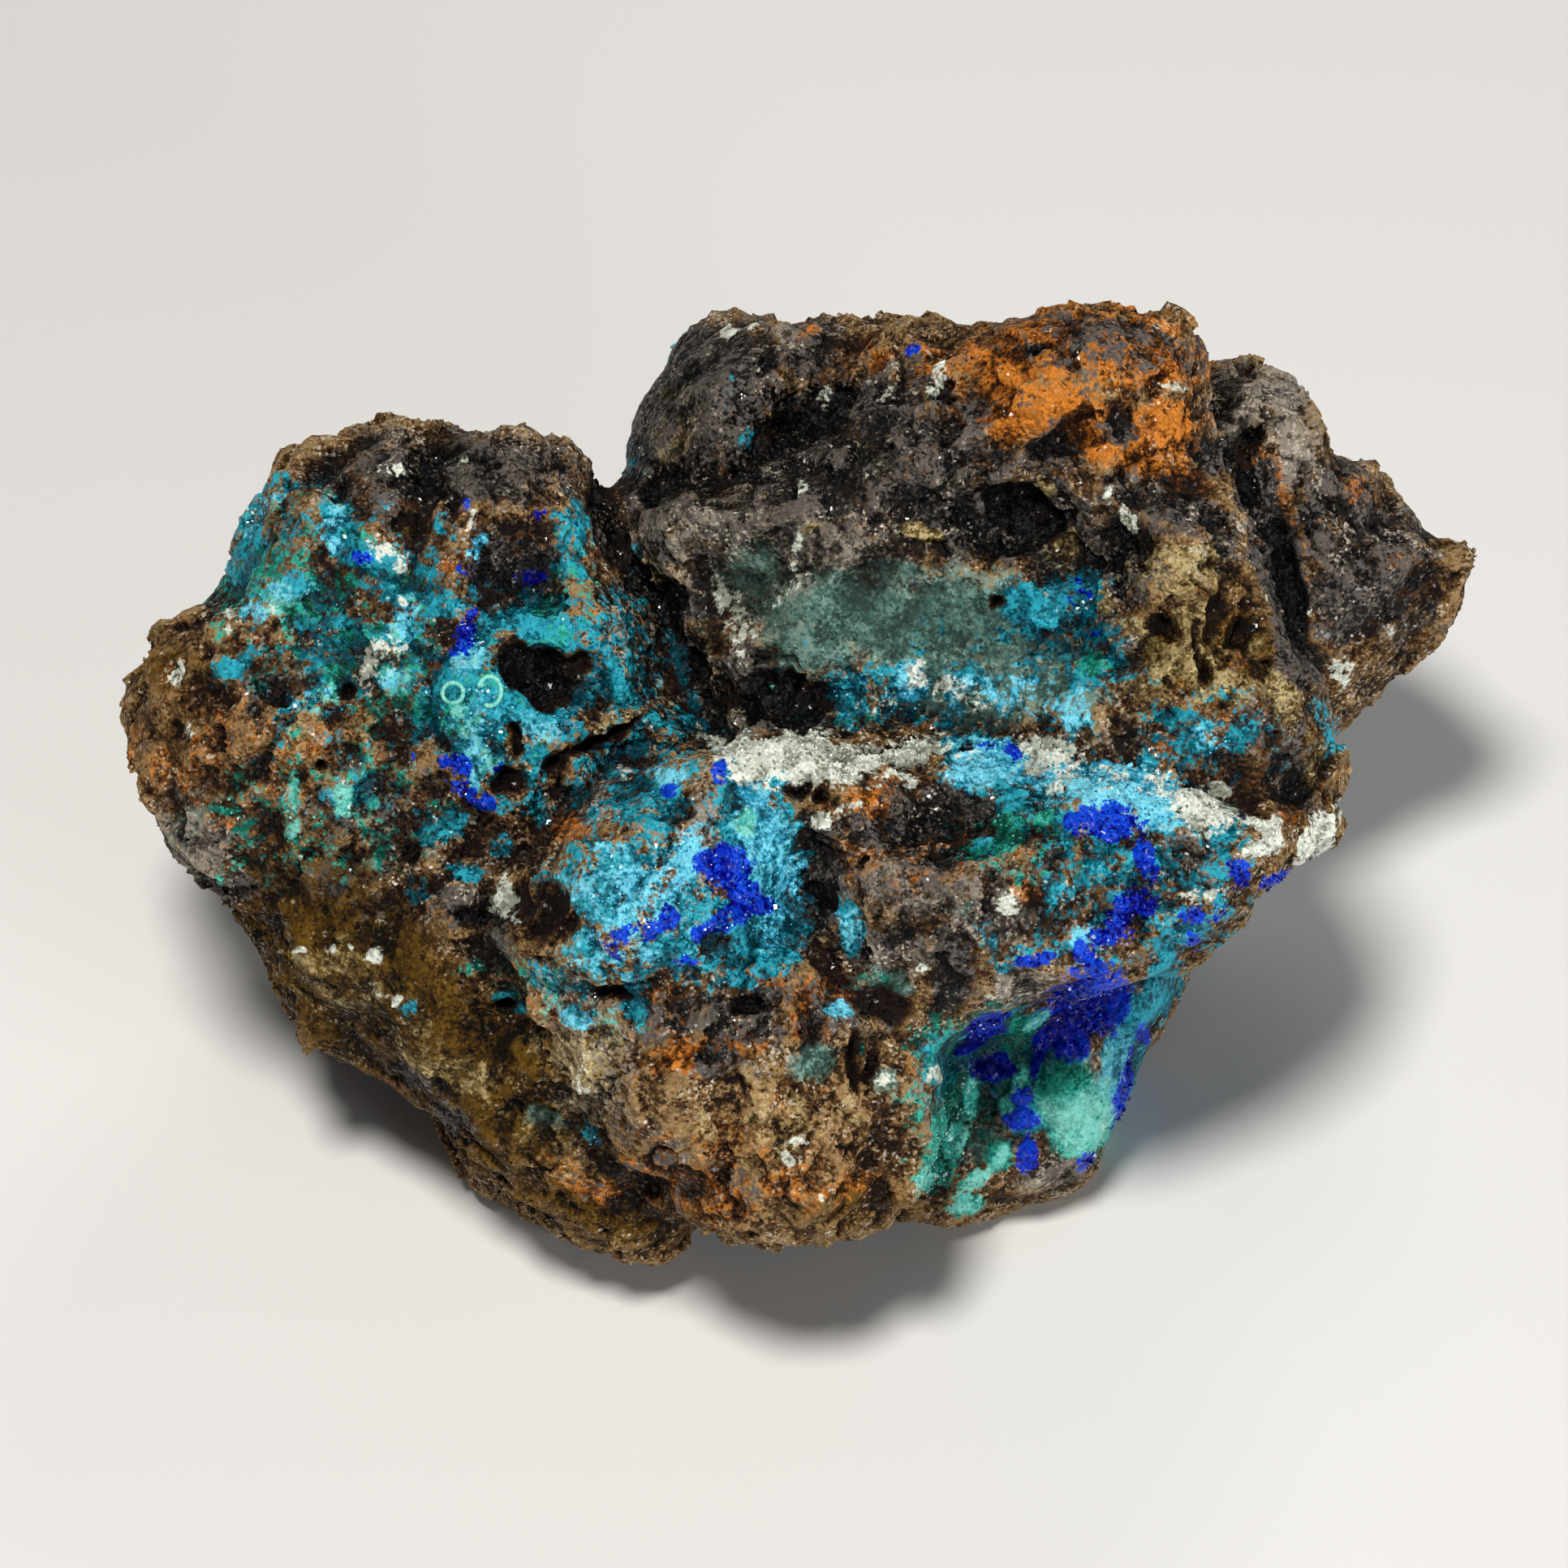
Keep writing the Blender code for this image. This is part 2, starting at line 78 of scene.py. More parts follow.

# Minerals on the display face, each a list of spots read off the photo: (x, v, half width,
# half height, turn, share covered), in millimetres and degrees
SPOTS = {
    "azurite": [
        (-18.9, 8.8, 0.6, 1.2, -25, 1), (-19.3, 0.8, 0.9, 0.6, -25, 1), (-18.6, -0.8, 1.2, 0.45, -20, 1),
        (-17.7, -1.3, 0.7, 0.4, -10, 1), (-16.8, 0.4, 0.45, 0.25, 0, 0.9),
        (-14.8, 12.1, 0.8, 0.35, 15, 0.95), (-14.3, 15.9, 0.5, 0.35, 0, 0.7),
        (-15.7, 14.5, 0.4, 0.3, 0, 0.6), (-18.5, 12.4, 0.9, 0.6, 0, 0.45), (-18.9, 16.5, 0.5, 0.5, 0, 0.5),
        (-21.6, 1.4, 0.4, 0.35, 0, 0.8), (-25.2, 13.2, 0.8, 0.4, -15, 0.5), (-3.6, 0.1, 0.35, 0.5, 0, 0.8),
        (-6.4, -0.7, 0.55, 0.3, 15, 0.62), (-3.4, -5.2, 1.5, 0.95, 10, 1), (-2.3, -6.9, 1.6, 0.7, -20, 1),
        (-1, -7.6, 0.6, 0.3, -5, 0.9), (-4, -8.7, 1.1, 0.65, 35, 1), (-2.6, -7.9, 0.6, 0.5, 0, 0.9),
        (-7.3, -8.6, 1.1, 0.5, 20, 1), (-6.8, -8.1, 0.4, 0.5, 0, 1), (-9.6, -9.4, 0.9, 0.4, 15, 1),
        (-5.6, -10.8, 0.5, 0.35, 0, 0.9), (-9.6, -10.2, 0.6, 0.3, -35, 0.7), (12.6, 1.8, 0.6, 0.3, 0, 0.85),
        (14, 1.5, 0.35, 0.55, 0, 0.85), (19.4, -2.6, 1.8, 0.9, 0, 1), (17.9, -3.2, 0.5, 0.6, 0, 0.8),
        (21.8, -4.6, 0.45, 1.1, 5, 1), (22.3, -5.8, 0.35, 0.8, -5, 0.9), (21.2, -7.6, 1.1, 0.9, 30, 1),
        (20.7, -8.7, 0.8, 0.9, 10, 1), (19.6, -9.4, 1.2, 0.6, 15, 0.85), (18.2, -10.3, 0.5, 0.7, 10, 0.9),
        (19.1, -11.2, 0.6, 0.25, -15, 0.9), (15.3, -10.8, 1.1, 0.35, 10, 0.75),
        (27.4, -5.9, 0.5, 0.9, 0, 0.9), (24.8, -8.1, 0.8, 0.6, 10, 0.65), (24.7, -9.7, 0.5, 0.4, 0, 0.6),
        (29.5, -5.9, 1, 0.35, 30, 0.8), (26.2, -7.9, 0.6, 0.5, 0, 0.6), (8.1, 25.7, 0.45, 0.25, 20, 0.55),
        (18.4, -13.7, 2.6, 1.8, 30, 1), (17.5, -16, 1, 0.9, 20, 1), (15.6, -16.3, 0.5, 1.5, -15, 1),
        (12.3, -14.8, 1.3, 0.8, 25, 1), (11.2, -15.8, 0.8, 0.4, 30, 0.9), (12.9, -17.2, 1.5, 0.75, 0, 1),
        (14.6, -19, 0.7, 0.7, -40, 0.9), (14.3, -20.4, 1, 0.6, 0, 0.95), (14.9, -22.5, 0.6, 1, -15, 1),
        (18.2, -22.9, 0.5, 0.8, -20, 0.75), (20.4, -18, 0.35, 2.6, -13, 0.9),
        (21.7, -15.1, 0.4, 0.5, 0, 0.9), (17.8, 10.9, 0.6, 1.1, 0, 0.5), (19.3, 8.2, 0.9, 0.9, -30, 0.4),
    ],
    "chrysocolla": [
        (-21, 8, 9, 6, -20, 0.38), (-27.5, 12.5, 5, 4, -30, 0.42), (-27, 2, 7, 5, 0, 0.22),
        (-8, 0, 4.5, 3.5, 0, 0.45), (-8.5, -8.5, 5.5, 4, 0, 0.42), (21.5, -6, 6, 4.5, 20, 0.4),
        (16, 6.5, 5, 4.5, 0, 0.42), (9, 5.4, 8, 1.7, 0, 0.54), (25.5, 2.4, 4, 2.4, 0, 0.42),
        (-31.6, 13, 1.3, 2.8, -10, 0.72), (-30.9, 16.2, 0.8, 1.7, -35, 0.6),
        (-26.4, 15.2, 1.2, 1.4, 0, 0.85), (-26.7, 13.9, 0.9, 0.6, 0, 0.9),
        (-24.6, 13.1, 1.7, 0.9, -25, 0.9), (-23, 11.6, 1.1, 1.4, 15, 0.95), (-29.5, 11, 1.7, 0.8, 5, 0.85),
        (-31, 9.9, 1.1, 0.6, 0, 0.65), (-32.7, 6.7, 1.5, 0.55, 32, 0.85), (-29.5, 7.7, 1.7, 0.5, 5, 0.55),
        (-26, 8.4, 1.9, 0.6, 20, 0.85), (-22.5, 9.2, 0.8, 1.6, -20, 0.85),
        (-20.5, 10.6, 1.7, 0.9, -15, 0.75), (-21.4, 13.3, 0.9, 1.4, 0, 0.45), (-27.3, 5.6, 2, 1.5, 0, 0.5),
        (-25.9, 4.4, 0.7, 0.5, 0, 0.65), (-23, 5.7, 1.1, 0.8, -20, 0.9), (-20.8, 5, 1.8, 0.8, 45, 0.9),
        (-18.1, 14.1, 0.6, 1.1, 0, 0.75), (-18, 7.8, 1.4, 1.5, 0, 0.9), (-17.8, 5, 2.4, 2.6, 0, 0.95),
        (-19, 3, 1.7, 1.1, -5, 0.95), (-18, 1.2, 1.1, 1.7, 10, 0.95), (-15.8, 4, 1.5, 1, -35, 0.9),
        (-14.4, 3.3, 2, 0.95, 0, 0.95), (-15, 1.5, 1.4, 0.7, 0, 0.75), (-14.9, -0.7, 0.9, 1.6, 0, 0.9),
        (-16.8, -1.6, 1, 0.5, 0, 0.65), (-15, 9.1, 2.5, 0.9, -8, 1), (-12.7, 8.4, 1.7, 1.9, 0, 1),
        (-11.2, 6.2, 1.3, 2, -20, 0.9), (-12.4, 4.6, 2.4, 1.1, 38, 0.95), (-9, 7.4, 1.6, 2.8, 10, 0.6),
        (-9.6, 5, 1.6, 1.1, 0, 0.7), (-6.2, 3.5, 1.6, 0.8, -25, 0.8), (-5.7, 6, 0.3, 2.5, 22, 0.8),
        (-8, 1.9, 1.1, 0.6, 15, 0.8), (-8.2, -1.5, 2.4, 1.8, 0, 0.8), (-6.6, 0.1, 0.9, 0.6, 0, 0.9),
        (-9, -6.8, 4.3, 2.5, 5, 0.9), (-5.6, -5, 0.8, 2.2, -20, 0.95), (-11.4, -10.3, 3, 2, 0, 0.6),
        (-6.6, -10.7, 3.2, 1.4, 5, 0.85), (-1.1, -4.6, 2, 4.6, 8, 1), (-1.4, -9.5, 2.2, 2, 0, 0.95),
        (-4.6, -7.6, 1.7, 0.9, -15, 0.85), (-3, 0.6, 0.5, 1.1, 20, 0.95), (-9, -12.9, 0.9, 0.8, 0, 0.7),
        (4.2, -8.7, 0.55, 1.5, 10, 0.62), (3.7, -13.8, 0.55, 0.45, 0, 0.9), (12.3, 1.1, 2.4, 1.2, 0, 1.2),
        (15.8, 0.4, 2.2, 0.9, -5, 0.9), (10.2, 3, 0.6, 1.6, -5, 0.8), (14.2, -1.3, 0.9, 1.9, -10, 0.55),
        (19.8, -0.6, 3.3, 1.2, -5, 1.2), (22.6, -1.4, 1.7, 1.3, 0, 1.1), (17.2, -3, 1.1, 1.8, 0, 0.75),
        (19.1, -4.5, 1.3, 1.8, 0, 0.85), (20.8, -6, 0.6, 1.7, 0, 0.75), (16.5, -6.8, 1.2, 1.7, 20, 0.6),
        (22.9, -5.5, 1.3, 1.8, 10, 0.8), (18.4, -9.4, 1, 0.6, 10, 0.85), (26.8, -2.9, 0.9, 1.2, -10, 0.75),
        (25.8, -8.6, 2.2, 1.2, 35, 0.65), (22.8, -9.2, 1.4, 1, 0, 0.55), (12.8, -3.9, 1, 0.8, 0, 0.55),
        (12.2, -9.9, 0.7, 0.9, 0, 0.55), (13.6, -10.9, 1.5, 0.6, 20, 0.5), (24.5, 3.6, 1.8, 0.9, -10, 0.65),
        (26.4, 2, 1.8, 1.6, -20, 0.65), (32.9, 3, 0.5, 1.4, 0, 0.6), (3.8, 5.1, 1.3, 1.1, 0, 0.9),
        (5.3, 4, 1.6, 0.9, 0, 0.7), (7.9, 5.3, 1.2, 1.6, 0, 0.9), (12, 5.2, 2.5, 1.6, 0, 0.4),
        (15.6, 9.6, 1.7, 1.5, -20, 0.95), (17.6, 10.7, 1.3, 1.8, 10, 0.9), (19.3, 7.9, 1.3, 1.5, -30, 0.85),
        (17.8, 4.1, 1.7, 1.1, 0, 0.5), (-3, 23.4, 0.4, 2.2, -8, 0.3), (-1.6, 20.3, 0.9, 0.8, 0, 0.25),
        (-9, 19, 0.8, 1.6, -20, 0.4), (-12.5, 15.2, 1, 1.5, 20, 0.75), (-12.6, 12.4, 1.1, 0.6, 0, 0.7),
        (-8.8, 13.3, 0.7, 0.9, 0, 0.4), (-20.2, -2.8, 1.2, 1, 15, 0.95), (-21.6, -6.6, 0.7, 0.8, 20, 0.9),
        (-18.9, -5.4, 0.9, 0.45, -10, 0.75), (-16.6, -4.3, 0.6, 0.7, 0, 0.75),
        (-16.2, -13.2, 1, 0.5, -20, 0.8), (-12, -14.3, 1, 0.6, -20, 0.7), (-8.7, -13.5, 0.5, 1.2, 15, 0.7),
        (-11.3, -21.2, 0.35, 0.65, 0, 1), (-22.1, -13.8, 0.7, 0.5, 20, 0.6),
        (10.3, -16.9, 1.6, 1.6, 20, 0.95), (22.6, -12.7, 1, 2.2, -28, 0.95), (13, -16, 3.5, 1.8, 20, 0.8),
        (20.5, -16.5, 1, 3.5, -15, 1.1), (15.5, -18.5, 3, 3.2, 0, 0.7), (17.2, 2, 0.9, 0.6, 0, 0.7),
        (10, 8.2, 4.2, 1.8, 0, 0.36), (5, 7.4, 3, 1, -8, 0.4),
    ],
    "malachite": [
        (-28, 11, 6, 5, -20, 0.36), (-24, 6.5, 4.5, 3.5, 0, 0.36), (-13, 11, 2, 4, 0, 0.36),
        (-27, -2, 8, 5, 0, 0.26), (-18.5, 4, 4.5, 4, 0, 0.3), (14, -3.5, 4, 3, 0, 0.34),
        (-14, -12, 6, 3, -20, 0.24), (11, -19, 3.5, 6, -10, 0.45), (5, -12.5, 5, 2, 0, 0.14),
        (-18.9, 4.8, 1.5, 1.6, 0, 0.5), (-2, -2.7, 0.65, 0.6, -20, 1), (14.2, -15, 1, 0.9, 0, 0.95),
        (15.4, -14.3, 1.1, 0.35, 35, 0.95), (14.1, -18.2, 0.6, 1.7, -25, 0.95),
        (17.3, -18.5, 1.8, 1.5, 0, 1), (18.2, -20.5, 1.9, 1.7, 15, 1), (19.6, -17, 0.8, 2.8, -13, 0.45),
        (9.7, -21.5, 0.8, 2.8, -12, 0.95), (11, -19, 1.1, 1.5, 0, 1), (10.6, -21.6, 0.7, 1.1, -15, 1),
        (13.2, -22.6, 0.8, 0.9, -10, 0.85), (11.6, -24, 0.9, 0.45, 25, 0.95),
        (8.8, -23.9, 0.6, 0.7, -30, 0.85), (11, -25.5, 1, 0.45, 20, 0.95), (16.4, -19.9, 0.9, 0.7, 0, 0.9),
        (13.5, -3, 0.9, 1.4, 0, 0.75), (15.8, -2.2, 0.6, 0.6, 0, 0.75), (11.5, -4.2, 0.9, 0.6, 0, 0.45),
        (6.3, -12.2, 1.8, 0.7, -5, 0.4), (18.7, 6.9, 0.9, 0.6, 0, 0.55), (-33, -1.5, 1.1, 0.8, 0, 0.55),
        (-29, -1.7, 0.5, 1.5, 0, 0.75), (-26.3, -1.1, 0.45, 1, -10, 0.75),
        (-27.5, -2.3, 0.9, 0.3, 15, 0.65), (-32.6, -5.3, 1, 0.5, 15, 0.55),
        (-18.5, -11.4, 1.3, 0.6, 0, 0.5), (-24.9, 1.2, 0.8, 0.7, 0, 0.5), (4.9, -16.6, 0.5, 1.2, 0, 0.4),
        (-20, 3.3, 0.8, 0.6, 0, 0.6), (4.6, 3.7, 1, 0.6, 0, 0.5),
    ],
    "quartz": [
        (20.5, -0.2, 2.6, 0.8, -5, 0.44), (11.6, 1.4, 1.4, 0.5, 0, 0.36), (-0.6, 1.1, 2.4, 1.2, 8, 1.2),
        (0.9, 1.7, 1.6, 1.1, 10, 1.2), (-2.6, 1, 1.2, 0.8, -25, 0.9), (3.6, 0.5, 2.5, 1, 18, 1.1),
        (5.4, 1, 2, 0.8, 20, 1.05), (7.8, 1.6, 2, 0.7, 12, 0.95), (9.2, 2.4, 0.4, 0.9, -10, 0.55),
        (3.4, -2.1, 1.3, 0.4, 25, 0.85), (7, -0.3, 1.1, 0.3, 10, 0.65), (16.2, 1.5, 1.7, 1, 0, 0.8),
        (17, -0.3, 1, 0.4, 0, 0.8), (25.2, -2, 1.7, 1.1, -25, 1), (26.2, -0.6, 0.8, 0.4, -15, 0.65),
        (28.6, -4.1, 1.3, 0.35, 15, 1), (29.5, -3.2, 0.35, 0.9, -20, 1), (28.7, -2.7, 0.8, 0.3, -10, 0.95),
        (32.2, -3.4, 0.6, 1.7, -25, 1), (-2.4, 8.6, 1.1, 0.9, -25, 0.66), (-3.5, 11.3, 0.45, 1.8, 19, 0.5),
        (-2.5, 10, 0.7, 1.1, 0, 0.42), (1.1, 13.8, 0.35, 1.5, 0, 0.5), (0.8, 11.3, 0.4, 1.4, -42, 0.46),
        (-2.6, 13.6, 0.4, 0.7, -10, 0.45), (2.9, 22.9, 0.5, 0.8, -35, 0.55), (1.3, 17.6, 0.3, 1, 0, 0.45),
        (9.4, 23.8, 0.4, 1, -10, 0.5), (6.3, 22.9, 0.4, 0.5, 0, 0.45), (-1.6, 26.9, 0.5, 0.25, 15, 0.6),
        (-2.9, 26.7, 0.5, 0.4, 0, 0.6), (8.2, 6.2, 0.7, 0.9, 0, 0.42), (11.3, 5, 1.9, 0.8, -20, 0.46),
        (10.2, 7.6, 1.3, 0.7, 0, 0.3), (13.6, 4.6, 1.8, 0.7, 5, 0.4), (5.6, 4.4, 1.2, 0.6, 0, 0.36),
        (-23.4, 13.6, 1.4, 0.75, -42, 0.5), (-23.6, 18.3, 0.5, 0.28, 15, 0.6),
        (-22.6, 18.7, 0.3, 0.22, 0, 0.85), (-24.2, 6.6, 0.9, 1.2, 0, 0.42), (-23.4, 7.9, 0.9, 0.6, 0, 0.6),
        (-22.5, 10.6, 0.28, 0.28, 0, 1), (-32.8, 9.8, 0.25, 0.2, 0, 1), (-32.8, 9, 0.25, 0.2, 0, 1),
        (-18.4, 15.7, 0.22, 0.6, -20, 0.85), (-30, 10.2, 0.4, 0.3, 0, 0.6), (-35.2, 3, 0.5, 0.4, 0, 0.5),
        (-35.9, 6, 0.4, 0.9, 0, 0.5), (-16.5, -7.2, 0.5, 1.05, -12, 1), (-4.1, 2.1, 1, 0.42, -45, 0.95),
        (-9.3, 0.4, 0.5, 0.6, 0, 0.6), (-28.2, -10.1, 0.35, 0.22, 0, 1), (-26.7, -10.1, 0.35, 0.2, 0, 0.9),
        (-25.5, -10.1, 0.25, 0.2, 0, 0.9), (-24.1, -10.4, 0.4, 0.4, 0, 1), (-22.8, -13.3, 0.35, 0.35, 0, 1),
        (-24, -12.6, 0.6, 0.3, -25, 0.65), (6.2, -18, 0.6, 0.5, 0, 0.6), (0.8, -22.3, 1.2, 0.9, -20, 0.34),
        (-11.8, -17.6, 0.7, 1.1, -10, 0.34), (9, -17.7, 0.45, 0.6, 20, 0.75),
        (2.6, -24.6, 0.5, 0.4, 20, 0.5), (13.6, -7.3, 0.7, 0.7, 0, 0.5), (8.5, -11.3, 0.35, 0.28, 0, 0.6),
        (13.3, -12.6, 1.6, 0.8, 10, 0.35), (25, -6.9, 1, 0.35, 15, 0.75), (33.7, 6.5, 0.55, 1, -10, 0.62),
        (36.3, 8.6, 0.4, 0.55, 0, 0.5), (31.6, 9.8, 0.4, 0.3, 0, 0.4), (23.7, 23.4, 0.6, 0.3, 10, 0.95),
        (20.7, 15.5, 0.4, 0.8, 30, 1), (19.5, 16.9, 0.3, 0.6, 10, 0.6), (19.3, -19.8, 0.6, 1.6, -15, 0.3),
        (-19, 19, 0.8, 0.6, 0, 0.25),
    ],
    "rust": [
        (-30, 2, 8, 7, 0, 0.34), (-10, -13, 8, 3, -10, 0.3), (8, -4, 7, 3, 0, 0.42),
        (-2, -23.5, 8, 3, 0, 0.42), (-22, 14, 6, 4, 0, 0.3), (26, 4, 4, 7, 10, 0.34),
        (-22, -14, 9, 5, -38, 0.16), (15, 25.2, 5.2, 2.4, 15, 0.95), (13.5, 22.6, 2.8, 2.7, -20, 1),
        (17, 21.8, 3.2, 2.2, -10, 1), (21.5, 25.3, 4.2, 2.2, -15, 0.95), (22.8, 20.8, 2.6, 2, -10, 1),
        (19, 20.5, 3.2, 1.6, -15, 0.9), (22, 18.7, 3.2, 1.1, -20, 0.75), (24.3, 17.7, 1.7, 1.3, -30, 0.75),
        (9.5, 25, 1.6, 1.5, 0, 0.6), (5, 25.2, 2.6, 1, 15, 0.45), (2, 26.8, 0.7, 0.35, 0, 0.7),
        (13, 15.8, 3, 1.5, 0, 0.3), (28.4, 18.6, 1.4, 1.2, 0, 0.9), (30, 16.5, 1, 2, 20, 0.62),
        (31, 13, 0.6, 2.4, 15, 0.5), (34.5, 17.5, 1.7, 1.1, -30, 0.62), (37, 12, 2.4, 1.8, 0, 0.56),
        (33.8, 9, 1.8, 1.6, 0, 0.5), (-4.5, -16.3, 3.8, 1, 15, 0.8), (2.5, -13, 1.8, 1.7, 0, 0.85),
        (-0.5, -11.9, 1.8, 0.7, 0, 0.75), (2, -14.9, 1.4, 0.9, 0, 0.75), (-12.4, -2.9, 1.4, 0.9, -20, 0.85),
        (5.4, -1.6, 2.8, 1.3, 8, 0.75), (3.6, -24.5, 3, 1, 10, 0.55), (-11, -24, 3.4, 1.4, -15, 0.5),
        (-3, -25.2, 3, 1.2, 0, 0.5), (14.8, -6.8, 1.1, 0.7, -40, 0.75), (17.8, -15.5, 0.45, 0.4, 0, 0.85),
        (8.2, -17, 0.7, 0.9, 0, 0.55), (30.3, -2.2, 0.9, 0.7, 0, 0.7), (23, 1.8, 0.9, 0.9, 0, 0.65),
        (-11.2, 9.6, 1, 0.7, 0, 0.85), (-10.9, 13.8, 0.6, 0.5, 0, 0.65), (-37.5, 2, 2, 2, 0, 0.35),
        (-36, -0.5, 2.5, 0.8, -15, 0.35), (26, -0.4, 2, 0.5, -15, 0.4), (-6.2, 1.7, 1.3, 0.6, -5, 0.6),
        (16.4, 17.5, 0.8, 1.4, 10, 0.5), (-8.5, -23, 2, 1.2, 0, 0.45), (0, -20, 5, 2.5, 0, 0.3),
        (-33, 8.4, 1.2, 0.5, 0, 0.5), (-7.5, 10.3, 0.9, 0.5, -10, 0.5),
    ],
    "golden": [
        (0, -20.5, 6, 3.5, 0, 0.34), (-27, 0, 8, 6, 0, 0.28), (24.5, 8, 4.5, 6, 0, 0.45),
        (24.7, 13, 1.6, 1.4, -20, 0.8), (23.5, 11.4, 1.7, 1, 0, 0.62), (24.4, 9.3, 1.6, 1.3, -20, 0.64),
        (21.2, 9.2, 1.1, 0.8, -30, 0.75), (23, 6.8, 1.8, 1.6, 0, 0.6), (26.8, 5.6, 1.5, 1.3, 0, 0.75),
        (28.6, 7.5, 0.9, 1.8, 25, 0.65), (30.2, 5, 1.1, 1.9, 20, 0.55), (19.5, 10.4, 0.9, 0.8, 0, 0.75),
        (22, 13, 1.1, 0.9, 0, 0.65), (32, 1.5, 0.8, 3, 0, 0.45), (-10, 3.3, 1, 0.5, 20, 0.75),
        (8.4, 14.7, 1.2, 0.55, 0, 0.9), (-22.5, 14.8, 0.9, 0.5, 0, 0.55),
        (-13.6, -20.2, 1.4, 0.6, -20, 0.4), (0.8, -22.3, 1.5, 1.1, -20, 0.6), (2.5, 15.2, 2, 0.5, 10, 0.4),
        (17, 14, 0.8, 1.2, -20, 0.6), (15.8, 17, 0.8, 1.6, -20, 0.4), (-20, -17, 6, 2, -30, 0.42),
        (-26, -12, 5, 2.5, -35, 0.42), (-13, -22.5, 4, 1.8, -35, 0.35), (-12, -16.2, 2.4, 2.8, 0, 0.6),
        (-6.5, 21.5, 2.2, 4, -15, 0.34), (28.2, 10.5, 0.8, 1.4, 15, 0.4), (-33.5, 6.1, 0.7, 0.5, 30, 0.6),
    ],
    "wash": [
        (5, 9.6, 5.6, 2.3, -4, 1), (2, 8, 3.2, 1.4, -8, 0.9), (11, 10.2, 3.6, 2.5, 0, 0.95),
        (9, 7.6, 4.6, 1.5, -4, 0.85), (-1.5, 12.3, 2.2, 1.7, 0, 0.55), (13, 7, 3.2, 2.2, 0, 0.75),
        (14, 5, 4.4, 1.6, 5, 0.95), (9, 5.2, 3.4, 1.3, 0, 0.8), (17.5, 5, 2.3, 1.6, 0, 0.7),
        (16.5, 7.4, 1.7, 1.1, 0, 0.65), (3.5, 11.6, 2.6, 1.3, 0, 0.6), (6.8, 12, 1.7, 1.3, 0, 0.7),
        (1.9, -17, 1.3, 1, 10, 1), (6.4, -12.2, 1.9, 0.8, -5, 0.8), (11, -7, 0.9, 1.5, 0, 0.4),
        (-13.6, -20.3, 1.7, 0.8, -20, 0.6), (-35.5, -2.6, 1.6, 1.2, 0, 0.4),
        (-27.5, 6.2, 1.8, 1.2, 0, 0.45), (-13, -11.8, 2.4, 1, 0, 0.4), (6.2, -18, 0.9, 0.8, 0, 0.7),
        (12.3, -21.8, 1.5, 1.2, 0, 0.5),
    ],
    "grey": [
        (1.5, 13, 7.5, 5, 0, 0.85), (-6, 15, 3, 3, 0, 0.8), (-6, 22, 3.6, 5.4, -15, 0.95),
        (1.5, 26.6, 1.8, 0.9, 10, 0.75), (-18, 18.6, 6.2, 2.2, 0, 0.8), (-23.5, 19, 1.9, 2.2, 0, 0.75),
        (-1.5, 15.5, 3.8, 2.8, 0, 0.85), (3, 15, 3, 2.1, 0, 0.65), (-6, 14.5, 1.8, 2.2, 0, 0.65),
        (-35, -3.7, 2.8, 2.8, 0, 0.95), (7.5, -6.5, 3.6, 2.3, 0, 0.75), (12.5, -7.5, 3.2, 2.7, -10, 0.85),
        (6.5, -10.4, 2.8, 1.5, 0, 0.85), (25, -4.2, 2.3, 1.5, -10, 0.85), (24.8, -6, 1.5, 1.1, 0, 0.65),
        (14.3, -12.4, 2.3, 1.3, 15, 0.85), (20, 2.4, 2.2, 1, 0, 0.5), (-11.6, -1.6, 2.1, 1.5, 30, 0.75),
        (-4, -2.4, 1.1, 2.2, 0, 0.85), (-12.6, -12.6, 2.4, 1.4, -10, 0.75),
        (-11.5, -15.5, 2.3, 2.8, 0, 0.75), (-9, 8.8, 1.6, 1.6, 0, 0.55), (-11, -18, 2.6, 2.4, 0, 0.5),
        (28, 2.6, 1.8, 1.8, 0, 0.75), (16.5, 12.8, 1.8, 1.1, 0, 0.65), (27.3, 22.3, 1.8, 2.4, 0, 0.95),
        (29.8, 22.6, 2, 2.2, 0, 1), (31, 19.5, 1.2, 2.2, -10, 1), (33.5, 17.5, 2.2, 1.8, -20, 0.75),
        (36, 14.5, 3, 2.6, 0, 0.5), (16.3, -23.6, 2.2, 1.1, 15, 0.85), (21.9, -12.7, 0.8, 0.8, 0, 0.9),
        (12.3, -21.9, 1.4, 1.2, 0, 0.7), (21.3, 24.3, 1, 0.9, -20, 0.8), (-22, -3.5, 3, 3, 0, 0.4),
    ],
    # Dark places: partly a dark coat on the rock, and partly painted shade in the clefts and under the
    # overhangs
    "dark": [
        (-14.3, 6.2, 2, 1.2, -25, 1), (-1.5, 15, 3, 2.2, 0, 0.58), (25.5, -6.5, 2.5, 2, 0, 0.5),
        (0, -14.2, 6, 1.8, 5, 0.62), (8.5, -3.4, 6, 2.2, 0, 0.64), (-22, 13, 7, 5, 0, 0.4),
        (-24, -3, 9, 5, -10, 0.38), (29.5, 2, 3, 5, 0, 0.52), (8, -8.5, 6, 3, 0, 0.44),
        (-8, -23.5, 6, 2.2, -10, 0.42), (-2.6, 23.3, 1.2, 2.8, -8, 1.3), (2, 18.5, 6, 4, 0, 0.55),
        (22, -7, 5, 4, 0, 0.44), (16, 23, 7, 3, -10, 0.22), (10.5, -19, 2.5, 5.5, -10, 0.4),
        (-6.4, 21.5, 2.8, 5, -15, 1), (-6, 25, 2.6, 2.2, -10, 1), (-19, 18.6, 6, 1.6, 0, 1),
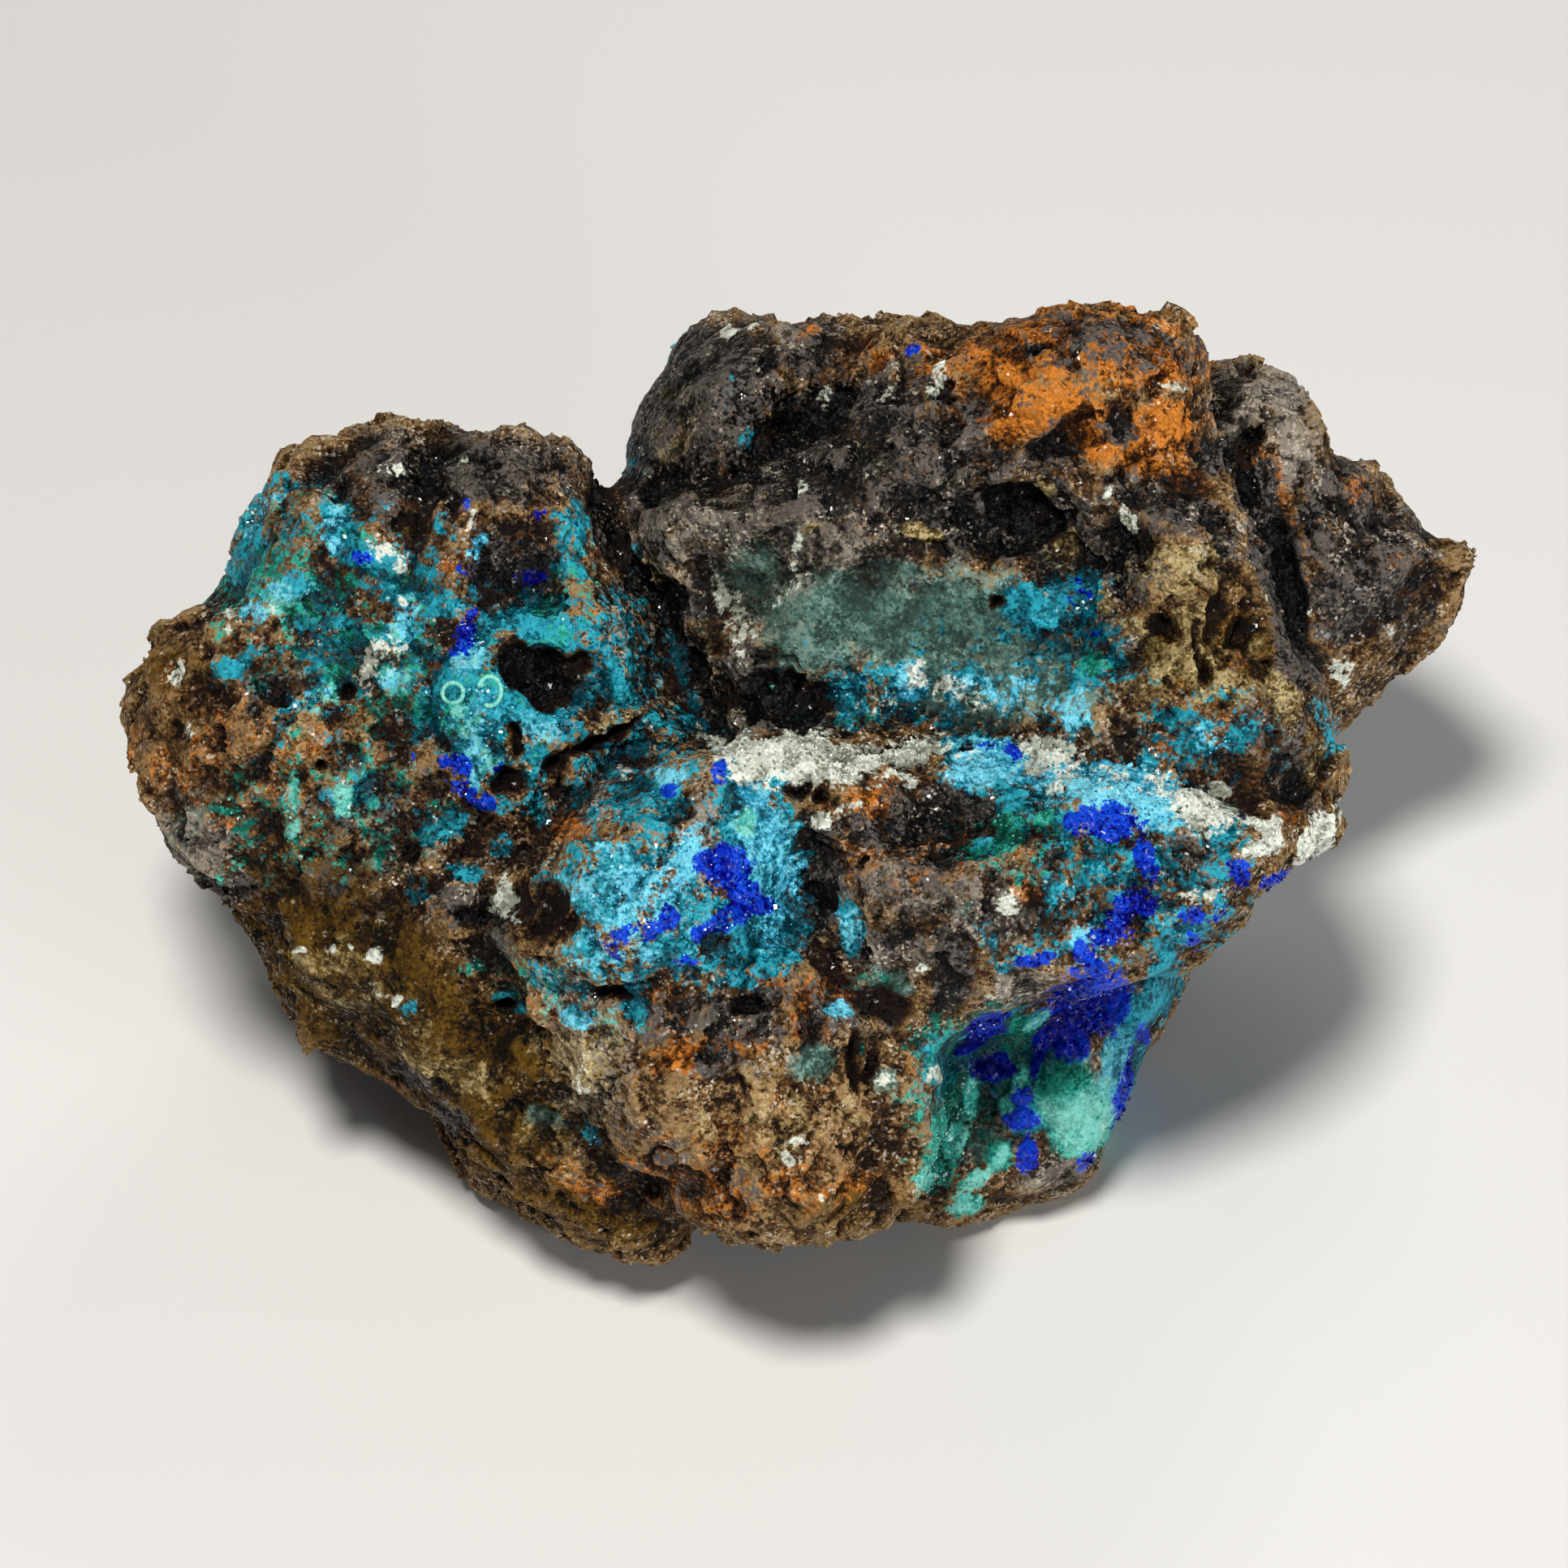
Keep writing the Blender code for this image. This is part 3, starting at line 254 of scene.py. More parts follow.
        (19.5, 25.9, 5.5, 1.2, -5, 0.68), (-24.5, 17.6, 2.5, 1.8, 0, 0.64), (35.5, 12.2, 3.6, 3.8, 0, 0.74),
        (33, 17, 2, 1.8, -20, 0.7), (-3.6, -9.9, 1, 0.8, 20, 0.9), (28.5, 3.2, 1.6, 1.4, 0, 0.6),
        (-6.2, 10.7, 2.1, 0.7, -20, 1), (-9, 11.3, 1.8, 0.6, 10, 0.9), (-6.6, 9, 0.6, 1.4, 15, 1),
        (-5.1, 6.6, 0.7, 2.3, 22, 1), (-3.9, 3.8, 0.9, 1.7, 25, 1), (-10.5, 16, 0.6, 2.6, 12, 0.95),
        (-8.8, 13, 0.7, 1.7, 10, 0.8), (-7.2, 13.9, 0.7, 1.1, 20, 0.85), (-7.9, 17.2, 0.8, 0.8, 0, 0.9),
        (-5.3, 17.9, 2.2, 0.5, 5, 0.75), (-1.2, 19.7, 0.8, 0.7, 0, 0.9), (-1.6, 6.3, 2.3, 1.3, -8, 0.95),
        (-0.2, 4.6, 3, 1.9, -8, 0.9), (2.2, 3.3, 1.3, 0.9, 0, 0.85), (-4.6, 8.2, 1, 1.4, 0, 0.7),
        (-26.6, 18.2, 1.4, 1.2, 20, 0.85), (-22.8, 15.8, 1.6, 0.9, -10, 0.75),
        (-20.5, 19, 0.45, 1.3, 0, 0.95), (-16, 13.4, 2.8, 2.8, 0, 0.62), (-14.2, 10.5, 2.2, 0.5, 8, 0.8),
        (-27.8, 12.8, 1.4, 0.9, 0, 0.75), (-28, 9.3, 1.8, 0.5, 0, 0.6), (-30.5, 5.6, 1.4, 0.9, -20, 0.85),
        (-31.5, 4.1, 0.45, 0.9, 0, 0.85), (-31, 0.5, 1.2, 1.2, 0, 0.5), (-33.4, 11.8, 0.6, 1.4, -20, 0.7),
        (-16, 18.8, 1, 0.6, 0, 0.6), (10.8, -1.5, 2.4, 1.2, -5, 0.95), (14.8, -1.2, 1.5, 1.3, -20, 0.85),
        (2.2, -3.2, 1.5, 1.1, -10, 0.95), (2.6, -6.6, 1, 2, 0, 0.85), (16.3, -4.3, 1.1, 0.9, 30, 0.95),
        (7.5, -2, 2.2, 0.6, 0, 0.65), (9.5, -4.9, 1.5, 0.7, 0, 0.7), (15.9, -8.2, 1.1, 0.8, -30, 0.85),
        (19.1, -8.1, 1.1, 0.7, 10, 0.7), (10.3, -11.8, 1.2, 2.2, 0, 0.85),
        (-6.2, -14.2, 2.2, 1.5, -10, 0.65), (-3.5, -17, 1.8, 0.8, 0, 0.6),
        (-18.8, -7.8, 1.8, 1.1, -20, 0.75), (-17, -9.8, 1.1, 1.5, 0, 0.7),
        (-24.5, -1.5, 1.8, 1.8, 30, 0.65), (-33, -6.6, 1.6, 0.7, 5, 0.85), (-21.5, -18, 2.2, 0.7, -25, 0.6),
        (-27, -6.6, 1.2, 0.5, 0, 0.65), (4, 20, 5.6, 3.4, 15, 1), (8.2, 18.8, 4.2, 3.8, 0, 0.9),
        (12, 15.5, 4.6, 1.9, -10, 1.1), (16.3, 18.4, 1.3, 2.4, -10, 0.9), (20.3, 13.7, 2.4, 2.4, 0, 0.95),
        (23, 16.6, 2.8, 1.3, -10, 0.9), (18.2, 16.3, 1.4, 1.6, 0, 0.6), (5, 17.3, 1.2, 0.9, 0, 0.75),
        (-0.8, 25, 0.8, 1.7, 10, 0.85), (1.6, 25.2, 1.6, 1.2, 40, 0.85), (0, 22.8, 1.8, 0.9, 0, 0.75),
        (29.7, 14, 1.1, 4.8, 15, 1.1), (30.8, 10, 1.1, 2.4, 10, 0.95), (31.2, 7.2, 1.3, 1.9, 10, 0.9),
        (26, 19.4, 0.9, 0.8, -30, 0.95), (27.6, 17.6, 0.6, 1.9, 20, 0.95),
        (32.6, 16.6, 1.1, 0.9, -20, 0.85), (32.6, 14.2, 1, 1.1, 0, 0.75), (26.5, 14.5, 0.9, 1.9, 10, 0.75),
        (21.2, 7.5, 0.9, 1.1, 0, 0.85), (30.3, 1.2, 1.4, 0.9, 0, 0.85), (34, 10.2, 3.2, 2.2, -20, 0.7),
        (16.3, -23, 1.6, 0.9, 15, 0.6), (-19.5, -20.3, 1.4, 0.8, -30, 0.6), (20.5, 21, 1, 0.9, 0, 0.75),
        (18.3, 23.6, 0.8, 1.6, 0, 0.6), (30.5, -0.8, 1.4, 0.7, -10, 0.7), (17.2, 7.9, 1.8, 0.5, 0, 0.3),
        (-25.8, -4.6, 1.6, 1, 0, 0.4), (22.8, 4.4, 1, 0.4, 10, 0.7),
    ],
    # Hollows and bare places, where the crusts stop, the rock is sunk and its colour is darkened as painted
    # shade
    "hollow": [
        (-14.3, 6.2, 2.1, 1.3, -25, 1), (-15.7, 7.3, 1, 0.9, 0, 1), (-12, 6.8, 1, 0.5, 25, 0.8),
        (-14.3, -8.1, 1.6, 1.8, 0, 1), (-3.6, -9.9, 0.9, 0.7, 20, 0.4), (-15.8, 13.2, 2.8, 2.2, 0, 0.36),
        (0, 4.8, 2.6, 1.3, -8, 0.4), (-13.2, 0.9, 0.9, 0.6, 30, 0.95), (-10.6, 2.3, 2.2, 0.4, 25, 0.9),
        (-15.9, 2.3, 0.35, 0.8, 10, 0.95), (-16, -0.3, 0.9, 0.7, 0, 0.7), (-25.8, 5.4, 0.4, 0.4, 0, 0.9),
        (-27.5, 0.8, 0.4, 0.3, 0, 1), (14.2, 16.3, 1.3, 1.3, 0, 1), (16.3, 15.2, 0.6, 0.7, 0, 0.8),
        (12.9, 10.6, 0.45, 0.32, 0, 1), (27.3, 8.7, 0.55, 0.75, 0, 1), (26.2, 10, 0.35, 1.6, -10, 0.7),
        (25.3, 7.3, 0.3, 1.6, 10, 0.9), (22.7, 9.1, 0.6, 0.5, 0, 0.9), (6, -13.5, 1.4, 0.9, -10, 1),
        (4.6, -16.9, 0.3, 1.5, 0, 0.9), (5.5, -17.5, 0.25, 1.1, 0, 0.9), (-1.7, -13.4, 0.9, 0.45, 0, 0.95),
        (-10.1, -12.8, 0.9, 0.45, 0, 0.95), (-16.3, -13.6, 0.45, 0.35, 0, 0.95),
        (0.9, -0.8, 0.55, 0.4, 0, 1), (2.4, -1, 0.4, 0.35, 0, 1), (4.6, 1, 1.5, 0.14, 15, 0.6),
        (6.8, 1.9, 1.6, 0.13, 12, 0.6), (2.3, 2.6, 0.8, 0.2, -20, 0.6), (7.6, 0.8, 1.2, 0.13, 15, 0.6),
        (1.4, -0.5, 0.5, 0.4, 0, 0.85), (11.3, 1.9, 0.5, 0.25, 30, 0.9), (-7.9, 17.2, 0.5, 0.6, 0, 0.9),
        (30.5, 11.5, 0.7, 3, 12, 0.9), (-22.1, -4.3, 0.5, 0.5, 0, 0.6), (-18.8, -8.2, 0.9, 0.5, 0, 0.6),
    ],
    # How pale the crusts are: the sky blue and mint places
    "pale": [
        (10, 5.6, 6, 1.5, 0, 0.36), (16, 0.6, 2.4, 1, -5, 1), (15, 4.6, 3, 1.2, 0, 0.7),
        (-9, -6.8, 4.2, 2.5, 5, 0.52), (-11, -9.8, 3.2, 2, 0, 0.48), (-5.6, -5, 0.8, 2.2, -20, 1),
        (-14.4, 3.3, 1.6, 0.8, 0, 0.56), (-17.9, 3.5, 1.3, 1.5, 0, 0.46), (-18, 1.2, 1, 1.5, 10, 0.56),
        (-18.7, 7.4, 0.8, 0.8, 0, 0.9), (12.3, 1.1, 2.3, 1.2, 0, 1.1), (19.8, -0.6, 3.3, 1.2, -5, 1.2),
        (22.6, -1.4, 1.7, 1.3, 0, 1.2), (25.8, 2.6, 1.7, 1.2, 0, 0.22), (-26.6, 15.7, 0.6, 0.7, 0, 0.9),
        (-26.8, 14, 0.5, 0.4, 0, 0.9), (-29.4, 11.1, 1, 0.6, 0, 0.7), (-31, 9.9, 1.1, 0.6, 0, 0.9),
        (-23, 5.9, 0.9, 0.7, 0, 0.8), (-27.6, 4.8, 1.2, 0.7, 0, 0.8), (8, 5.9, 0.9, 1.2, 0, 0.9),
        (4.2, -8.8, 0.6, 1.3, 0, 0.55), (3.7, -13.8, 0.6, 0.5, 0, 0.9), (18.4, -9.4, 1, 0.6, 0, 0.8),
        (-30.8, 16, 0.5, 1.4, -35, 0.6), (-22.6, 9.3, 0.6, 1.4, -20, 0.7),
        (19.7, -17.2, 0.9, 2.9, -13, 0.6), (18.2, -20.5, 1.8, 1.6, 15, 0.8), (-1.5, -1, 1.1, 0.7, -30, 0.7),
        (-0.6, -5.5, 1.6, 3.6, 0, 0.58), (-2, -2.7, 0.7, 0.7, 0, 1), (11.4, -19, 0.4, 1, 0, 1),
        (10.6, -21.6, 0.5, 0.95, -15, 1), (11.9, -24, 1, 0.45, 30, 1), (8.7, -24.1, 0.35, 0.8, -40, 0.9),
        (10.8, -25.4, 0.9, 0.45, 30, 0.9), (13.2, -22.6, 0.35, 0.8, -25, 0.9),
        (13.6, -19.5, 0.35, 1, -25, 0.9), (14.3, -18, 0.3, 1.1, -25, 0.9), (15.4, -14.3, 1, 0.3, 35, 0.9),
        (-29, -1.7, 0.6, 1.5, 0, 0.6), (-26.3, -1.1, 0.5, 1, -10, 0.8), (-18.1, 14.1, 0.6, 1.1, 0, 0.8),
        (-6.6, 0.1, 0.9, 0.6, 0, 0.8), (17.8, 4.1, 1.6, 1.1, 0, 0.8), (16.4, -19.9, 1, 0.8, 0, 0.6),
        (16.5, 23, 2.6, 1.8, -20, 0.9), (22.8, 20.8, 2.2, 1.6, 0, 0.8), (12.4, 23.6, 1.6, 2, 0, 0.7),
        (31, 20, 1, 2, -10, 0.9), (23.5, 11.4, 1.6, 1, 0, 0.9), (17.5, 20.8, 2.2, 1, -15, 0.9),
        (-12, -16.5, 2.6, 2.8, 0, 0.95), (-2, -20.5, 6.5, 3.5, 0, 0.62), (29.8, 22.6, 1.6, 1.6, 0, 0.6),
    ],
    "ochre": [
        (-25, -12, 9, 4.5, -40, 1.2), (-17.5, -18, 7, 4, -40, 1.2), (-10, -25, 6, 2.6, -15, 0.95),
        (-31, -9, 3, 3, 0, 0.9), (-28, -6, 5, 2, -10, 0.7), (28.5, 6, 3.2, 6, 15, 0.8),
        (24.5, 7.5, 3, 3, 0, 0.8), (-36.5, 6.5, 2.5, 2.5, 30, 0.5), (31.5, 1, 1.5, 4, 0, 0.8),
        (5, -25.5, 4.5, 1.5, 10, 0.5),
    ],
    # Where the surface is smooth: the blue face and the hump
    "smooth": [
        (15, -18.5, 7.5, 7.5, 0, 1), (21, -14, 3.5, 3, 40, 1), (-6, 22, 3.8, 6, -15, 0.95),
        (36, 10, 4, 5, 0, 0.7), (1, 13, 7, 4.5, 0, 0.62), (-22, -14, 9, 4.6, -38, 0.75),
        (-10, -24.5, 6, 2.5, -10, 0.3), (6, 9.5, 8, 3, -4, 0.6), (-1.2, -5, 1.8, 4, 8, 0.7),
    ],
}

MINERALS = list(SPOTS)

# How many times as far out as read each mineral's spots reach, and at how many a spot has faded
REACH = {"chrysocolla": 1.2, "malachite": 1.15, "azurite": 1.1, "quartz": 1.15, "dark": 1.25, "pale": 1.2}
SPOT_FADE = 1.5

# Away from the display face: (size of the patches in millimetres, how rare they are, most cover)
LOOSE_PATCHES = {
    "azurite": (5.5, 0.40, 0.75),
    "chrysocolla": (8.0, 0.14, 0.85),
    "malachite": (6.5, 0.30, 0.75),
    "quartz": (5.0, 0.36, 0.75),
    "rust": (12.0, 0.02, 0.80),
    "golden": (9.0, 0.18, 0.70),
    "ochre": (16.0, -0.12, 0.90),
    "wash": (9.0, 0.20, 0.75),
    "grey": (11.0, 0.00, 0.80),
    "dark": (8.0, 0.04, 0.80),
    "hollow": (3.4, 0.34, 0.80),
    "pale": (5.0, 0.00, 0.90),
    "smooth": (20.0, 1.00, 0.00),
}
PATCH_EDGE = 3

# Spots end and patches begin where the surface turns away from the camera
FACE_END = -0.5
FACE_FADE = 0.35

# The spots' edges wander by WANDER millimetres, and no crust grows in the hollows
WANDER = 0.35
WANDER_SIZE = 1.4
BARE_GAIN = 1.6
BARE_OF = ("azurite", "chrysocolla", "malachite", "quartz", "wash")

# Where each noise is read, so that no two are alike
WANDER_SHIFTS = (3.0, 9.0)
SWELL_SHIFT = 2.0
CRUMB_SHIFT = 8.0
HOLE_SHIFT = 14.0
PATCH_SHIFT = 11.0
PATCH_STEP = 7

# Fine relief: sizes of its features and their heights, in millimetres
SWELL_SIZE, SWELL_HEIGHT = 3.1, 0.28
CHIP_LAYERS = [(4.4, 0.18), (2.3, 0.52), (1.1, 0.20)]
CHIP_SPREAD = 9.0
CRUMB_SIZE, CRUMB_HEIGHT = 0.8, 0.07
HOLE_SIZE, HOLE_DEPTH = 1.3, 0.16
HOLE_GAIN, HOLE_START = 2.8, 0.9

# How much crusts and smooth places flatten the relief, and how far the wash counts as a crust
CALM_CRUSTS, CALM_SMOOTH = 0.45, 0.7
CALM_WASH = 0.6

# How far crusts stand out and bare or dark places are sunk, in millimetres
CRUST_HEIGHTS = {"chrysocolla": 0.14, "azurite": 0.20, "quartz": 0.30, "malachite": 0.12, "rust": 0.10}
SUNK_DEPTHS = {"hollow": 1.0, "dark": 0.20}

# Low places, whose colour the finish darkens as painted shade: (rounds of evening out, millimetres below
# the result that count in full)
NEAR_DIP = (4, 0.10)
WIDE_DIP = (40, 0.70)
NEAR_SHARE = 0.35

# Faces smoother than this are shaded smooth
SMOOTH_SHADED = 0.3

# Three tones of each mineral, from its darkest, which also serves as painted shade in cracks, dips and
# hollows, to its brightest grains
TONES = {
    "brown": ((0.006, 0.002, 0.001), (0.080, 0.037, 0.010), (0.29, 0.180, 0.075)),
    "grey": ((0.004, 0.003, 0.002), (0.062, 0.051, 0.040), (0.27, 0.23, 0.18)),
    # dark: the dark coat's colour, also used as painted shade in clefts and under overhangs
    "dark": ((0.001, 0.001, 0.001), (0.008, 0.006, 0.005), (0.105, 0.088, 0.076)),
    "rust": ((0.014, 0.004, 0.000), (0.165, 0.046, 0.003), (0.56, 0.185, 0.022)),
    "golden": ((0.014, 0.006, 0.001), (0.125, 0.082, 0.020), (0.44, 0.34, 0.16)),
    "ochre": ((0.002, 0.001, 0.000), (0.042, 0.018, 0.000), (0.120, 0.060, 0.005)),
    "wash": ((0.018, 0.034, 0.027), (0.054, 0.118, 0.096), (0.165, 0.275, 0.23)),
    "deep chrysocolla": ((0.000, 0.014, 0.022), (0.001, 0.105, 0.145), (0.02, 0.34, 0.44)),
    "pale chrysocolla": ((0.002, 0.070, 0.12), (0.022, 0.28, 0.43), (0.23, 0.72, 0.86)),
    "deep malachite": ((0.001, 0.024, 0.018), (0.002, 0.138, 0.094), (0.03, 0.39, 0.29)),
    "pale malachite": ((0.004, 0.17, 0.12), (0.045, 0.38, 0.31), (0.23, 0.62, 0.53)),
    "azurite": ((0.000, 0.000, 0.050), (0.000, 0.003, 0.28), (0.004, 0.06, 0.62)),
    "quartz": ((0.09, 0.080, 0.050), (0.41, 0.44, 0.36), (0.80, 0.82, 0.72)),
    "glitter": ((0.04, 0.036, 0.032), (0.17, 0.155, 0.13), (0.44, 0.42, 0.38)),
    # The pale specks: pale grains, and painted glints
    "specks_and_glints": ((0.03, 0.023, 0.013), (0.19, 0.155, 0.105), (0.50, 0.44, 0.34)),
}

# Crusts from the bottom up: (mineral, raggedness, crispness, roughness, how its tones are used)
LAYERS = [
    ("ochre", 2.2, 1.5, 0.85, "full"),
    ("grey", 2.4, 2.0, 0.75, "full"),
    ("rust", 2.4, 2.5, 0.92, "full"),
    # The dark crust is partly a dark coat and partly painted shade in clefts and under overhangs
    ("dark", 2.6, 3.5, 0.55, "full"),
    ("golden", 2.4, 3.5, 0.50, "full"),
    ("wash", 2.0, 2.0, 0.80, "calm"),
    ("chrysocolla", 3.2, 5.0, 0.50, "deep and pale"),
    ("malachite", 3.0, 5.0, 0.50, "deep and pale"),
    ("quartz", 2.8, 5.0, 0.38, "creamy"),
    ("azurite", 3.3, 7.0, 0.34, "calm"),
]
PALE_PLACES = ("pale", 2.4, 2.5, None, None)
BARE_ROUGHNESS = 0.82
SPECULAR = 0.14

# How much of the range from dark to light such a crust uses, and where that starts
CALM_RANGE = (0.92, 0.06)
CREAMY_RANGE = (0.66, 0.22)

# Sizes of clouds and grains in millimetres, and how much detail the clouds hold
CLOUD_SIZE, CLOUD_DETAIL = 2.1, 6.0
SPECKLE_SIZE, SPECKLE_DETAIL = 0.45, 4.0
CLOUD_ROUGHNESS = 0.65
FINE_GRAIN, COARSE_GRAIN = 0.17, 0.60

# How crusts break up: the speckles' share beside the cloud's, the middle of the two together, how
# soon a field counts in full, and how much less ragged crusts are on smooth ground
SPECKLE_SHARE = 0.8
CLOUD_MIDDLE = 0.9
FIELD_GAIN = 4.0
SMOOTH_RAGGED = -0.6

# What makes a place lighter or darker within its mineral's tones; the low and hollow weights paint shade
# into dips and hollows
VALUE_START = -1.72
VALUE_WEIGHTS = {
    "cloud": 1.7, "speckle": 1.5, "fine grain": 0.72, "coarse grain": 0.34, "low": -0.55, "hollow": -0.85,
    "pale patches": 0.34,
}

# Where pale specks lie on the rock: partly pale grains and partly painted glints
SPECKS_AND_GLINTS_START = -1.58
SPECKS_AND_GLINTS_WEIGHTS = {
    "high cloud": 1.5, "hollow": -0.6, "dark": -0.12, "rust": -0.20, "ochre": -0.18, "fine grain": 1.0,
}
SPECKS_AND_GLINTS_GAIN = 7.0
MOST_SPECKS_AND_GLINTS = 0.75

# Glints on the few brightest grains, and the grains' bump
GLINT_GAIN, GLINT_START = 10.0, -8.6
MOST_GLINT = 0.6
GLINT_ROUGHNESS = 0.20
BUMP_HEIGHTS = {"coarse height": 1.5, "fine height": 1.6}
BUMP_STRENGTH = 0.80
BUMP_DISTANCE = 1.0 * MM

# Small growths: (most of them, smallest and largest in millimetres, how far they lean)
GROWTHS = {
    "rock_chips": (7000, 0.14, 0.42, 0.5),
    "azurite_crystals": (3000, 0.15, 0.45, 0.7),
    "quartz_crystals": (900, 0.10, 0.24, 0.6),
    "chrysocolla_beads": (1300, 0.10, 0.20, 0.3),
    "malachite_beads": (450, 0.10, 0.20, 0.3),
    "glitter": (3000, 0.05, 0.09, 0.9),
}
GROWTH_SEED = 58

# Nothing grows lower than this
BARE_FOOT = 1.0 * MM
CHIP_SEEDS = (1.3, 4.1, 7.7, 9.2, 12.6)
CHIP_CHANCE = 1.2
LEAST_GLITTER = 0.15

# Finishes of the small growths: (tones, roughness, coat)
GROWTH_FINISHES = {
    "azurite_crystals": ("azurite", 0.22, 0.3),
    "quartz_crystals": ("quartz", 0.2, 0.4),
    "chrysocolla_beads": ("pale chrysocolla", 0.45, 0),
    "malachite_beads": ("pale malachite", 0.45, 0),
    "glitter": ("glitter", 0.30, 0.25),
    "mint_rings": ("pale malachite", 0.45, 0),
}
ROUND_GROWTHS = ("chrysocolla_beads", "malachite_beads", "mint_rings")
CRYSTAL_CLOUD_SIZE, CRYSTAL_CLOUD_DETAIL = 0.45, 3.0
CRYSTAL_START = -0.25
CRYSTAL_WEIGHTS = {"cloud": 0.6, "shade": 0.9}
CRYSTAL_ROUGHNESS_RANGE = 0.3

# Rings of tiny mint beads on the left lobe: (x, v, half width, half height, first and last turn)
RINGS = [(-19.5, 5.15, 0.62, 0.60, 0.1, 6.1), (-17.3, 5.25, 0.68, 0.88, -1.9, 2.7)]
RING_BEADS = 34
RING_SEED = 12
RING_SIZE, RING_SIZE_RANGE = 0.26, 0.08
RING_SHADE, RING_SHADE_RANGE = 0.75, 0.25
RING_LEAN = 0.3

# A ring lies only where the surface faces out by FACING; elsewhere is as good as FAR away
FACING = 0.3
FAR = 1e3

FLOOR_COLOUR = (0.70, 0.69, 0.67, 1.0)
FLOOR_ROUGHNESS = 0.6
FLOOR_SIZE = 1.6

# Round soft lights: (place and size in metres, watts, colour), all aimed at one spot
LIGHTS = {
    "key": ((-0.08, -0.21, 0.60), 0.14, 4.3, (1.0, 0.98, 0.95)),
    "fill": ((0.40, -0.42, 0.12), 0.25, 2.0, (0.94, 0.97, 1.0)),
    "rim": ((0.15, 0.50, 0.40), 0.25, 0.7, (1.0, 0.98, 0.96)),
}
LIT_SPOT = Vector((0, 0, 0.025))
SKY_COLOUR = (0.85, 0.88, 0.92, 1)
SKY_STRENGTH = 0.07


def face_places(points):
    """x and v of frame points on the display face, in millimetres, as the picture shows them."""
    offset = points - np.array(FACE_ORIGIN)
    x, v, t = (offset @ np.array(axis) for axis in (ACROSS, UP_FACE, OUT_OF_FACE))
    nearer = VIEW_DISTANCE / (VIEW_DISTANCE - (t - OUTLINE_DEPTH))
    return x * nearer / MM, v * nearer / MM


def clipped(values):
    return np.clip(values, 0.0, 1.0)


def noise_of(points, size, shift):
    """Smooth noise, about -1 to 1, whose features measure size millimetres."""
    return np.array([noise.noise(Vector(place)) for place in points / (size * MM) + shift])


def chips_of(points, size):
    """Height over flat chips of rock, size millimetres across, each tilted its own way."""
    heights = np.empty(len(points))
    middle = Vector((0.5, 0.5, 0.5))
    for number, place in enumerate(points / (size * MM)):
        place = Vector(place)
        centre = noise.voronoi(place)[1][0]
        heights[number] = (place - centre).dot(noise.cell_vector(centre * CHIP_SPREAD) - middle)
    return heights * size


def spot_field(x, v, spots, reach):
    """Each spot's share well inside it, half of that at its edge, and 0 half as far out again."""
    field = np.zeros(len(x))
    for spot_x, spot_v, half_width, half_height, turn, share in spots:
        angle = math.radians(turn)
        gap_x, gap_v = x - spot_x, v - spot_v
        along = (gap_x * math.cos(angle) + gap_v * math.sin(angle)) / half_width
        across = (gap_v * math.cos(angle) - gap_x * math.sin(angle)) / half_height
        field = np.maximum(field, share * clipped(SPOT_FADE - np.hypot(along, across) / reach))
    return field


def mineral_fields(points, normals):
    """How much of each mineral grows at each point: none at 0, all at 1 and above."""
    places = zip(face_places(points), WANDER_SHIFTS)
    x, v = (place + WANDER * noise_of(points, WANDER_SIZE, shift) for place, shift in places)
    shown = clipped((normals @ np.array(OUT_OF_FACE) - FACE_END) / FACE_FADE)
    fields = {}
    for number, mineral in enumerate(MINERALS):
        drawn = spot_field(x, v, SPOTS[mineral], REACH.get(mineral, 1.0))
        size, rare, most = LOOSE_PATCHES[mineral]
        cloud = noise_of(points, size, PATCH_SHIFT + PATCH_STEP * number)
        loose = clipped((cloud - rare) * PATCH_EDGE) * most
        fields[mineral] = drawn * shown + loose * (1 - shown)
    bare = clipped(fields["hollow"] * BARE_GAIN)
    for mineral in BARE_OF:
        fields[mineral] *= 1 - bare
    return fields


def cut_finer(bm):
    """Splits long edges until the display face is fine and the rest is fairly fine."""
    for _ in range(CUT_ROUNDS):
        bm.normal_update()
        long_edges = []
        for edge in bm.edges:
            first, second = edge.verts
            turned = (first.normal + second.normal).dot(OUT_OF_FACE) / 2
            near = min(1.0, max(0.0, (turned - FINE_END) / FINE_FADE))
            if edge.calc_length() > COARSE_EDGE + (FINE_EDGE - COARSE_EDGE) * near:
                long_edges.append(edge)
        if not long_edges:
            return
        bmesh.ops.subdivide_edges(bm, edges=long_edges, cuts=1)
        bmesh.ops.triangulate(bm, faces=[face for face in bm.faces if len(face.verts) > 3])


def fine_skin():
    """The rock's solid as one merged mesh, its corners eased and its faces cut fine."""
    bm = bmesh.new()
    bm.from_mesh(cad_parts[NODE].data)
    bmesh.ops.remove_doubles(bm, verts=bm.verts, dist=MERGE_GAP)
    bmesh.ops.subdivide_edges(bm, edges=bm.edges, cuts=1, use_grid_fill=True)
    free = [vert for vert in bm.verts if vert.co.z > PAD_HEIGHT]
    for _ in range(EASE_ROUNDS):
        bmesh.ops.smooth_vert(bm, verts=free, factor=0.5, use_axis_x=True, use_axis_y=True,
                              use_axis_z=True)
    bmesh.ops.triangulate(bm, faces=bm.faces)
    cut_finer(bm)
    return mesh_of(bm, "crusted_rock")


def mesh_of(bm, name):
    mesh = bpy.data.meshes.new(name)
    bm.to_mesh(mesh)
    bm.free()
    return mesh


def set_out(name, data):
    """A new object in the scene, at its origin."""
    made = bpy.data.objects.new(name, data)
    bpy.context.scene.collection.objects.link(made)
    return made


